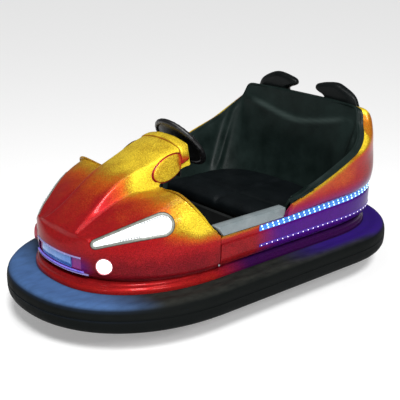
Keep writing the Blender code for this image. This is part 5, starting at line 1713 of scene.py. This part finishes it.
def swell(made: Object, voxel: float, pressure: float, cap: float, frames: int = 20) -> Object:
    """Puffs a closed soft form with a cloth simulation, and keeps each point within a cap of where it was.

    Args:
        made: The closed form, a little smaller than the finished pad.
        voxel: Remesh size in metres.
        pressure: Cloth pressure inside it.
        cap: Most that a point may move, in metres.
        frames: Frames simulated.

    Returns:
        The same object, puffed and smooth.
    """
    mesh = made.modifiers.new("even", "REMESH")
    mesh.mode, mesh.voxel_size, mesh.use_smooth_shade = "VOXEL", voxel, True
    bake(made)
    start = points_of(made)
    cloth = made.modifiers.new("puff", "CLOTH")
    settings = cloth.settings
    settings.use_pressure, settings.uniform_pressure_force = True, pressure
    settings.effector_weights.gravity = 0.0
    settings.tension_stiffness = settings.compression_stiffness = 18
    settings.bending_stiffness = 0.6
    settings.quality = 4
    cloth.point_cache.frame_start, cloth.point_cache.frame_end = 1, frames
    scene = bpy.context.scene
    for step in range(1, frames + 1):
        scene.frame_set(step)
    bake(made)
    scene.frame_set(1)
    move = points_of(made) - start
    far = np.linalg.norm(move, axis=1)
    move *= np.minimum(1.0, cap / np.maximum(far, 1e-9))[:, None]
    move_points(made, start + move)
    even = made.modifiers.new("even", "SMOOTH")
    even.iterations, even.factor = 6, 0.5
    bake(made)
    made.data.shade_smooth()
    return made


def seat_loop(inset: float, z: float) -> Array:
    """The bench's outline at one height: straight front, sides, and the power curve round the back."""
    line = SEAT_FOOT.inset(inset)
    front = BENCH_FRONT + inset
    tail = line.tail_points(np.linspace(0, 1, 60))
    right = np.vstack([(0.0, front), (line.half, front), tail])
    around = np.vstack([right, right[-2:0:-1] * (-1, 1), right[:1]])
    return level(evened(around, 121)[:-1], z)


@dataclass
class Bench:
    """The seat cushion with its welted seams."""

    def build(self, finish: Material) -> None:
        """Builds the cushion: a box pad on the bench's outline, puffed, with channels pressed in after."""
        rows = [(0.030, 0.0010), (0.016, 0.002), (0.009, 0.010), (0.007, 0.024), (0.007, 0.040),
                (0.010, 0.052), (0.020, 0.060), (0.040, 0.0635), (0.080, 0.0645), (0.130, 0.0650)]
        grid = np.array([seat_loop(inset, BENCH_Z + high) for inset, high in rows])
        made = sheet("seat_pad", grid, wrap_columns=True)
        capped(made, outward=True)
        swell(made, 0.006, 4.0, 0.008)
        place = points_of(made)
        top = smoothstep(BENCH_Z + 0.03, BENCH_Z + 0.055, place[:, 2])
        middle = 0.012 * bell(place[:, 0], 0.010)
        cross = 0.006 * bell(place[:, 1] - 0.20, 0.008)
        place[:, 2] -= np.maximum(middle, cross) * top
        move_points(made, place)
        made.data.shade_smooth()
        place_piece(made, finish, Slot.VINYL, "seat_cushion")


@dataclass
class HeadHorns:
    """The padded fins that curl in over the seat back."""

    inner: float = 0.125
    outer: float = BACK_HALF - 0.030
    tip: float = 0.062
    rise: float = 0.090
    depth: float = 0.046
    sunk: float = 0.013

    def outline(self) -> Array:
        """The fin's outline (x, z), from its inner foot round the hooked tip and crest to the outer foot."""
        top, foot = BACK_TOP + self.rise, BACK_TOP - self.sunk
        key = [(self.inner, foot), (self.inner - 0.004, foot + 0.022), (self.tip + 0.018, top - 0.058),
               (self.tip, top - 0.040), (self.tip + 0.022, top - 0.016), (self.inner + 0.060, top),
               (self.outer - 0.100, top - 0.012), (self.outer - 0.030, top - 0.050), (self.outer, foot)]
        return dense(np.array(key), 8)

    def build(self, finish: Material) -> None:
        """Builds both fins: the outline carried through their depth, rounded off front and back, puffed."""
        outline = self.outline()
        centre = outline.mean(axis=0)
        middle = BACK_Y + 0.016 + self.depth / 2
        share = np.linspace(-1, 1, 17)
        shrink = 1 - 0.22 * np.abs(share) ** 3.2
        for side in Side:
            shape = centre + (outline - centre) * shrink[:, None, None]
            shape[..., 1] = np.maximum(shape[..., 1], BACK_TOP - self.sunk)
            shape[:, 0, 1] = shape[:, -1, 1] = BACK_TOP - self.sunk
            y = np.broadcast_to((middle + share * self.depth * 0.46)[:, None], shape.shape[:2])
            grid = np.stack([shape[..., 0] * side.value, y, shape[..., 1]], -1)
            made = sheet(f"head_pad_{side.word}", grid, wrap_columns=True)
            capped(made, outward=True)
            swell(made, 0.004, 4.0, 0.004)
            place_piece(made, finish, Slot.VINYL, f"head_horn_{side.word}")


# ---------------------------------------------------------------- steering wheel
@dataclass
class SteeringWheel:
    """The wheel: a grip with finger waves, three pressed spokes with bright insets, and a domed hub."""

    hub: Triple = (0.0, NOSE + 0.832, 0.709)
    slope: float = 37.0
    radius: float = 0.143
    grip: float = 0.013

    def frame(self) -> tuple[Array, Array, Array, Array]:
        """Hub point, the axis towards the driver, and two directions in the wheel's plane."""
        lean = math.radians(self.slope)
        axis = np.array((0.0, math.cos(lean), math.sin(lean)))
        return np.array(self.hub), axis, np.array((1.0, 0.0, 0.0)), np.cross(axis, (1.0, 0.0, 0.0))

    def lay(self, shape: Array, height: Array | float) -> Array:
        """Points of the wheel's plane, moved along its axis."""
        hub, axis, aside, above = self.frame()
        shape = np.asarray(shape)
        reach = np.broadcast_to(height, shape.shape[:-1])[..., None]
        return hub + shape[..., :1] * aside + shape[..., 1:] * above + axis * reach

    @staticmethod
    def spokes() -> list[tuple[Array, Array]]:
        """Each spoke's direction in the wheel's plane, and the direction across it."""
        ways = [math.radians(90 + 120 * number) for number in range(3)]
        return [(np.array((math.cos(way), math.sin(way))), np.array((-math.sin(way), math.cos(way))))
                for way in ways]

    def build(self, black: Material, bright: Material) -> None:
        """Builds grip, spokes, insets, hub and shaft."""
        turn = turns(144)
        around = turns(20)
        wave = 1 + 0.045 * np.cos(turn * 30) * smoothstep(-0.2, 0.6, np.abs(np.cos(turn)))
        small = self.grip * wave[:, None]
        reach = self.radius - self.grip + small * 0.98 * np.cos(around)[None]
        flat = np.stack([reach * np.cos(turn)[:, None], reach * np.sin(turn)[:, None]], -1)
        grid = self.lay(flat, small * np.sin(around)[None])
        grip = tidy(sheet("wheel_grip", grid, wrap_rows=True, wrap_columns=True), flat=60)
        place_piece(grip, black, Slot.PLASTIC, "steering_wheel", body=WHEEL)

        blocks = []
        for run, over in self.spokes():
            share = np.linspace(0, 1, 16)
            half = 0.040 - 0.012 * np.sin(share * math.pi * 0.5)
            half[-3:] += (0.001, 0.003, 0.006)
            across_share = np.linspace(-1, 1, 9)
            mid = run * (0.024 + (self.radius - 2 * self.grip + 0.006 - 0.024) * share)[:, None]
            shape = mid[:, None] + over * (half[:, None] * across_share[None])[..., None]
            crown = 0.0045 * (1 - across_share**2)[None] - 0.010 * (1 - share)[:, None] * 0.3
            front = self.lay(shape, crown - 0.001)
            back = self.lay(shape, crown - 0.007)
            blocks.append((np.concatenate([front, back[:, ::-1]], 1), quads(16, 18, wrap_columns=True)))
        spokes = mesh_piece("wheel_spokes", *joined_points(blocks))
        capped(spokes)
        tidy(spokes, 1e-7, 45)
        place_piece(spokes, black, Slot.PLASTIC, body=WHEEL)

        blocks = []
        for run, over in self.spokes():
            side = turns(28)
            oval = 0.080 * run + np.cos(side)[:, None] * 0.015 * run + np.sin(side)[:, None] * 0.0075 * over
            rows = [0.080 * run + (oval - 0.080 * run) * s for s in (1.0, 0.94, 0.80, 0.02)]
            lift = (0.0015, 0.0048, 0.0055, 0.0056)
            rings = np.array([self.lay(row, height) for row, height in zip(rows, lift)])
            blocks.append((rings, quads(4, 28, wrap_columns=True)))
        insets = tidy(mesh_piece("wheel_insets", *joined_points(blocks)), 1e-6, 45)
        place_piece(insets, bright, Slot.TRIM, body=WHEEL)

        circle = np.stack([np.cos(turn[::3]), np.sin(turn[::3])], -1)
        section = ((0.034, -0.004), (0.070, -0.0085), (0.108, -0.0060), (0.1195, -0.0040), (0.1195, -0.0080),
                   (0.070, -0.0125), (0.034, -0.010))
        rings = np.array([self.lay(circle * r, h) for r, h in section])
        dish = tidy(sheet("wheel_dish", rings, wrap_rows=True, wrap_columns=True), 1e-6, 40)
        place_piece(dish, black, Slot.PLASTIC, body=WHEEL)

        profile = ((0.0002, 0.0165), (0.010, 0.0160), (0.018, 0.0138), (0.0235, 0.0108), (0.0250, 0.0090),
                   (0.0262, 0.0104), (0.0300, 0.0100), (0.0345, 0.0070), (0.0360, 0.0020), (0.0360, -0.018),
                   (0.0330, -0.028),
                   (0.0200, -0.031), (0.0102, -0.032), (0.0100, -0.3465), (0.0002, -0.347))
        hub = np.array([self.lay(circle * r, h) for r, h in profile])
        made = tidy(sheet("wheel_hub", hub, wrap_columns=True), 1e-6, 40)
        place_piece(made, black, Slot.PLASTIC, body=WHEEL)


# ---------------------------------------------------------------- frame, floor and running gear
@dataclass
class PlainNodes:
    """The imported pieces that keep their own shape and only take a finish."""

    def dress(self, finishes: dict[str, Material]) -> None:
        """Gives each node that still shows its material."""
        for name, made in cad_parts.items():
            if made.hide_render:
                continue
            if name not in finishes:
                raise KeyError(name)
            made.data.materials.clear()
            made.data.materials.append(finishes[name])
            LOG.info("%s keeps its shape", name)


@dataclass
class Screws:
    """Small pan-head screws at the seams."""

    def build(self, finish: Material) -> None:
        """Builds a low dome at each side's seam."""
        blocks = []
        angle = turns(20)
        for side in Side:
            rows = []
            for radius, lift in ((0.0052, 0.0), (0.0050, 0.0014), (0.0038, 0.0026), (0.0018, 0.0030),
                                 (0.0001, 0.0028)):
                out = (SHELL_HALF - 0.0005 + lift) * side.value
                rows.append(np.stack([np.full(20, out), SEAM_Y - 0.012 + radius * np.cos(angle),
                                      0.303 + radius * np.sin(angle)], -1))
            blocks.append((np.array(rows), quads(5, 20, wrap_columns=True)))
        made = tidy(mesh_piece("seam_screws", *joined_points(blocks)), 1e-7, 50)
        place_piece(made, finish, Slot.HUB)


# ---------------------------------------------------------------- stage
@dataclass
class Stage:
    """Pale floor, soft studio lights and the camera."""

    camera_place: Triple = (3.0114, -2.5656, 1.7603)
    target: Triple = (0.0, 0.0, 0.35)
    lens: float = 79.80
    shift: Pair = (-0.0114, 0.0247)

    @staticmethod
    def facing(direction: Vector) -> Euler:
        """The turn that makes a camera or a light look along a direction."""
        return direction.to_track_quat("-Z", "Y").to_euler()

    def camera(self) -> None:
        """The camera, looking at the car's middle."""
        data = bpy.data.cameras.new("camera")
        data.lens, data.sensor_width = self.lens, 36.0
        data.shift_x, data.shift_y = self.shift
        made = bpy.data.objects.new("camera", data)
        made.location = self.camera_place
        made.rotation_euler = self.facing(Vector(self.target) - Vector(self.camera_place))
        bpy.context.scene.collection.objects.link(made)
        bpy.context.scene.camera = made

    def light(self, name: str, place: Sequence[float], size: Pair, power: float) -> None:
        """A rectangular soft light aimed at the car."""
        data = bpy.data.lights.new(name, "AREA")
        data.shape, data.size, data.size_y, data.energy = "RECTANGLE", size[0], size[1], power
        made = bpy.data.objects.new(name, data)
        made.location = place
        made.rotation_euler = self.facing(Vector((0, 0, 0.3)) - Vector(place))
        bpy.context.scene.collection.objects.link(made)

    def build(self) -> None:
        """Floor, world and lights."""
        self.camera()
        size = 40.0
        corners = [(-size, -size, 0), (size, -size, 0), (size, size, 0), (-size, size, 0)]
        floor = mesh_piece("floor", np.array(corners), np.array([(0, 1, 2, 3)]), smooth=False)
        floor.data.materials.append(Lit("floor paper", (0.92, 0.92, 0.92), (0.93, 0.93, 0.93), 0.30).make())
        world = bpy.data.worlds.new("studio")
        world.use_nodes = True
        background = world.node_tree.nodes["Background"].inputs
        background["Color"].default_value = (1.0, 1.0, 1.0, 1.0)
        background["Strength"].default_value = 0.13
        bpy.context.scene.world = world
        self.light("overhead", (0.2, -0.8, 3.2), (1.6, 1.2), 30)
        self.light("side", (3.6, -0.9, 2.3), (0.9, 0.7), 46)
        self.light("front", (1.2, -3.6, 1.6), (0.5, 0.5), 10)
        sun = bpy.data.lights.new("soft sun", "SUN")
        sun.energy, sun.angle = 2.7, math.radians(14)
        made = bpy.data.objects.new("soft sun", sun)
        made.rotation_euler = self.facing(Vector((-0.58, 0.30, -0.76)))
        bpy.context.scene.collection.objects.link(made)
        bpy.context.scene.view_settings.view_transform = "Standard"


def main() -> None:
    """Builds every sub-assembly in order."""
    logging.basicConfig(level=logging.INFO, format="%(message)s")
    Stage().build()
    paint = CandyPaint("candy flake").make()
    # The base ring's paint keeps its violet dark: painted shade under the sill, with the strips' painted light
    # at the tail.
    ring_shade_paint = CandyPaint("low ring paint", violet=(0.008, 0.003, 0.060)).make()
    steel = Speckle("black steel", (0.030, 0.031, 0.033), (0.050, 0.050, 0.052), (0.38, 0.55), 0.4).make()
    casting = Speckle("grey casting", (0.20, 0.20, 0.21), (0.30, 0.30, 0.31), (0.4, 0.6), 0.6).make()
    black = Speckle("satin black moulding", (0.004, 0.004, 0.0045), (0.009, 0.009, 0.010), (0.28, 0.42)).make()
    matte = Speckle("matte black moulding", (0.005, 0.006, 0.006), (0.010, 0.011, 0.011), (0.5, 0.65),
                    depth=0.4).make()
    vinyl = Vinyl("seat vinyl").make()
    dark_vinyl = Vinyl("head pad vinyl", (0.003, 0.004, 0.004), (0.008, 0.010, 0.010), (0.28, 0.40)).make()
    pad = Speckle("grey pad skin", (0.15, 0.18, 0.19), (0.20, 0.23, 0.24), (0.35, 0.5), depth=0.3).make()
    bright = Speckle("bright insert", (0.16, 0.17, 0.17), (0.26, 0.27, 0.28), (0.25, 0.4), 0.3).make()
    trim = Speckle("lamp trim", (0.13, 0.14, 0.12), (0.24, 0.25, 0.22), (0.35, 0.5), 0.2, patch=60).make()
    violet_trim = Speckle("violet trim", (0.30, 0.28, 0.62), (0.42, 0.36, 0.70), (0.2, 0.3), 0.4,
                          coat=0.6).make()
    glow = Lit("lamp glow", (1.0, 1.0, 1.0), (0.93, 0.95, 0.97), 0.9).make()
    lens = ClearLens().make()
    bars = Lit("lamp bars", (0.05, 0.06, 0.05), (0.16, 0.19, 0.17), 0.05).make()

    BumperRing().build()
    BaseRing().build(ring_shade_paint)
    lamps, fogs, grille = Headlamps(), FogLamps(), NoseGrille()
    shell = FrontShell()
    openings = [lamp.opening(side) for lamp in (lamps, fogs) for side in Side] + [grille.opening()]
    skin = shell.build(paint, openings)
    near = skin[skin[:, 0] > 0.05]
    lamps.build(near, trim, glow, lens, bars, matte)
    fogs.build(Speckle("fog bezel", (0.34, 0.05, 0.07), (0.42, 0.10, 0.12), (0.3, 0.4), metallic=0.3).make(),
               Lit("fog glow", (1.0, 1.0, 1.0), (0.95, 0.97, 1.0), 4.0).make(), matte)
    grille.build(
        Speckle("blue plate", (0.05, 0.16, 0.50), (0.12, 0.30, 0.66), (0.15, 0.3), 0.6, 30, coat=0.8).make(),
        Speckle("violet recess", (0.16, 0.01, 0.17), (0.30, 0.02, 0.20), (0.3, 0.4), 0.3, 40).make(),
        violet_trim,
        Lit("nose strip", (0.10, 0.10, 0.50), (0.22, 0.16, 0.62), 0.30).make(),
        matte,
    )
    collar = HoodCollar(shell.line)
    collar.build(paint)
    collar.covers(paint)
    rear = RearShell()
    rear.build(paint)
    LightStrips(rear).build(
        Lit("upper channel", (0.006, 0.075, 0.36), (0.015, 0.16, 0.55), 0.70).make(),
        Lit("lower channel", (0.040, 0.008, 0.22), (0.05, 0.010, 0.26), 0.12).make(),
        Lit("upper lights", (0.55, 0.92, 1.0), (0.35, 0.80, 1.0), 2.2).make(),
        Lit("lower lights", (0.95, 0.85, 1.0), (0.85, 0.72, 1.0), 2.4).make(),
    )
    SillPads().build(pad)
    SeatTub().build(vinyl)
    Bench().build(Vinyl("cushion vinyl", (0.0016, 0.0026, 0.0032), (0.004, 0.006, 0.007), (0.45, 0.60)).make())
    HeadHorns().build(dark_vinyl)
    SteeringWheel().build(black, bright)
    Screws().build(casting)
    tyre = Speckle("wheel rubber", (0.018, 0.018, 0.018), (0.035, 0.034, 0.033), (0.6, 0.8), depth=0.5).make()
    mat = Speckle("floor rubber", (0.012, 0.012, 0.013), (0.030, 0.030, 0.030), (0.5, 0.7), depth=0.6).make()
    case = Speckle("battery case", (0.05, 0.05, 0.055), (0.08, 0.08, 0.085), (0.4, 0.55)).make()
    groups = (
        (steel, "bumper_rim chassis_frame crossbar_dash crossbar_bench crossbar_axle crossbar_tail "
                "turret_bridge drive_turret floor_plate steering_gearbox steering_column"),
        (casting, "drive_wheel_hub rear_wheel_left_hub rear_wheel_right_hub drive_motor"),
        (tyre, "drive_wheel_tyre rear_wheel_left_tyre rear_wheel_right_tyre"),
        (matte, "bench_panel dash_panel toe_board side_liner_left side_liner_right"),
        (mat, "floor_mat accelerator_pedal"),
        (case, "battery_block"),
    )
    PlainNodes().dress({name: finish for finish, names in groups for name in names.split()})


if __name__ == "__main__":
    main()
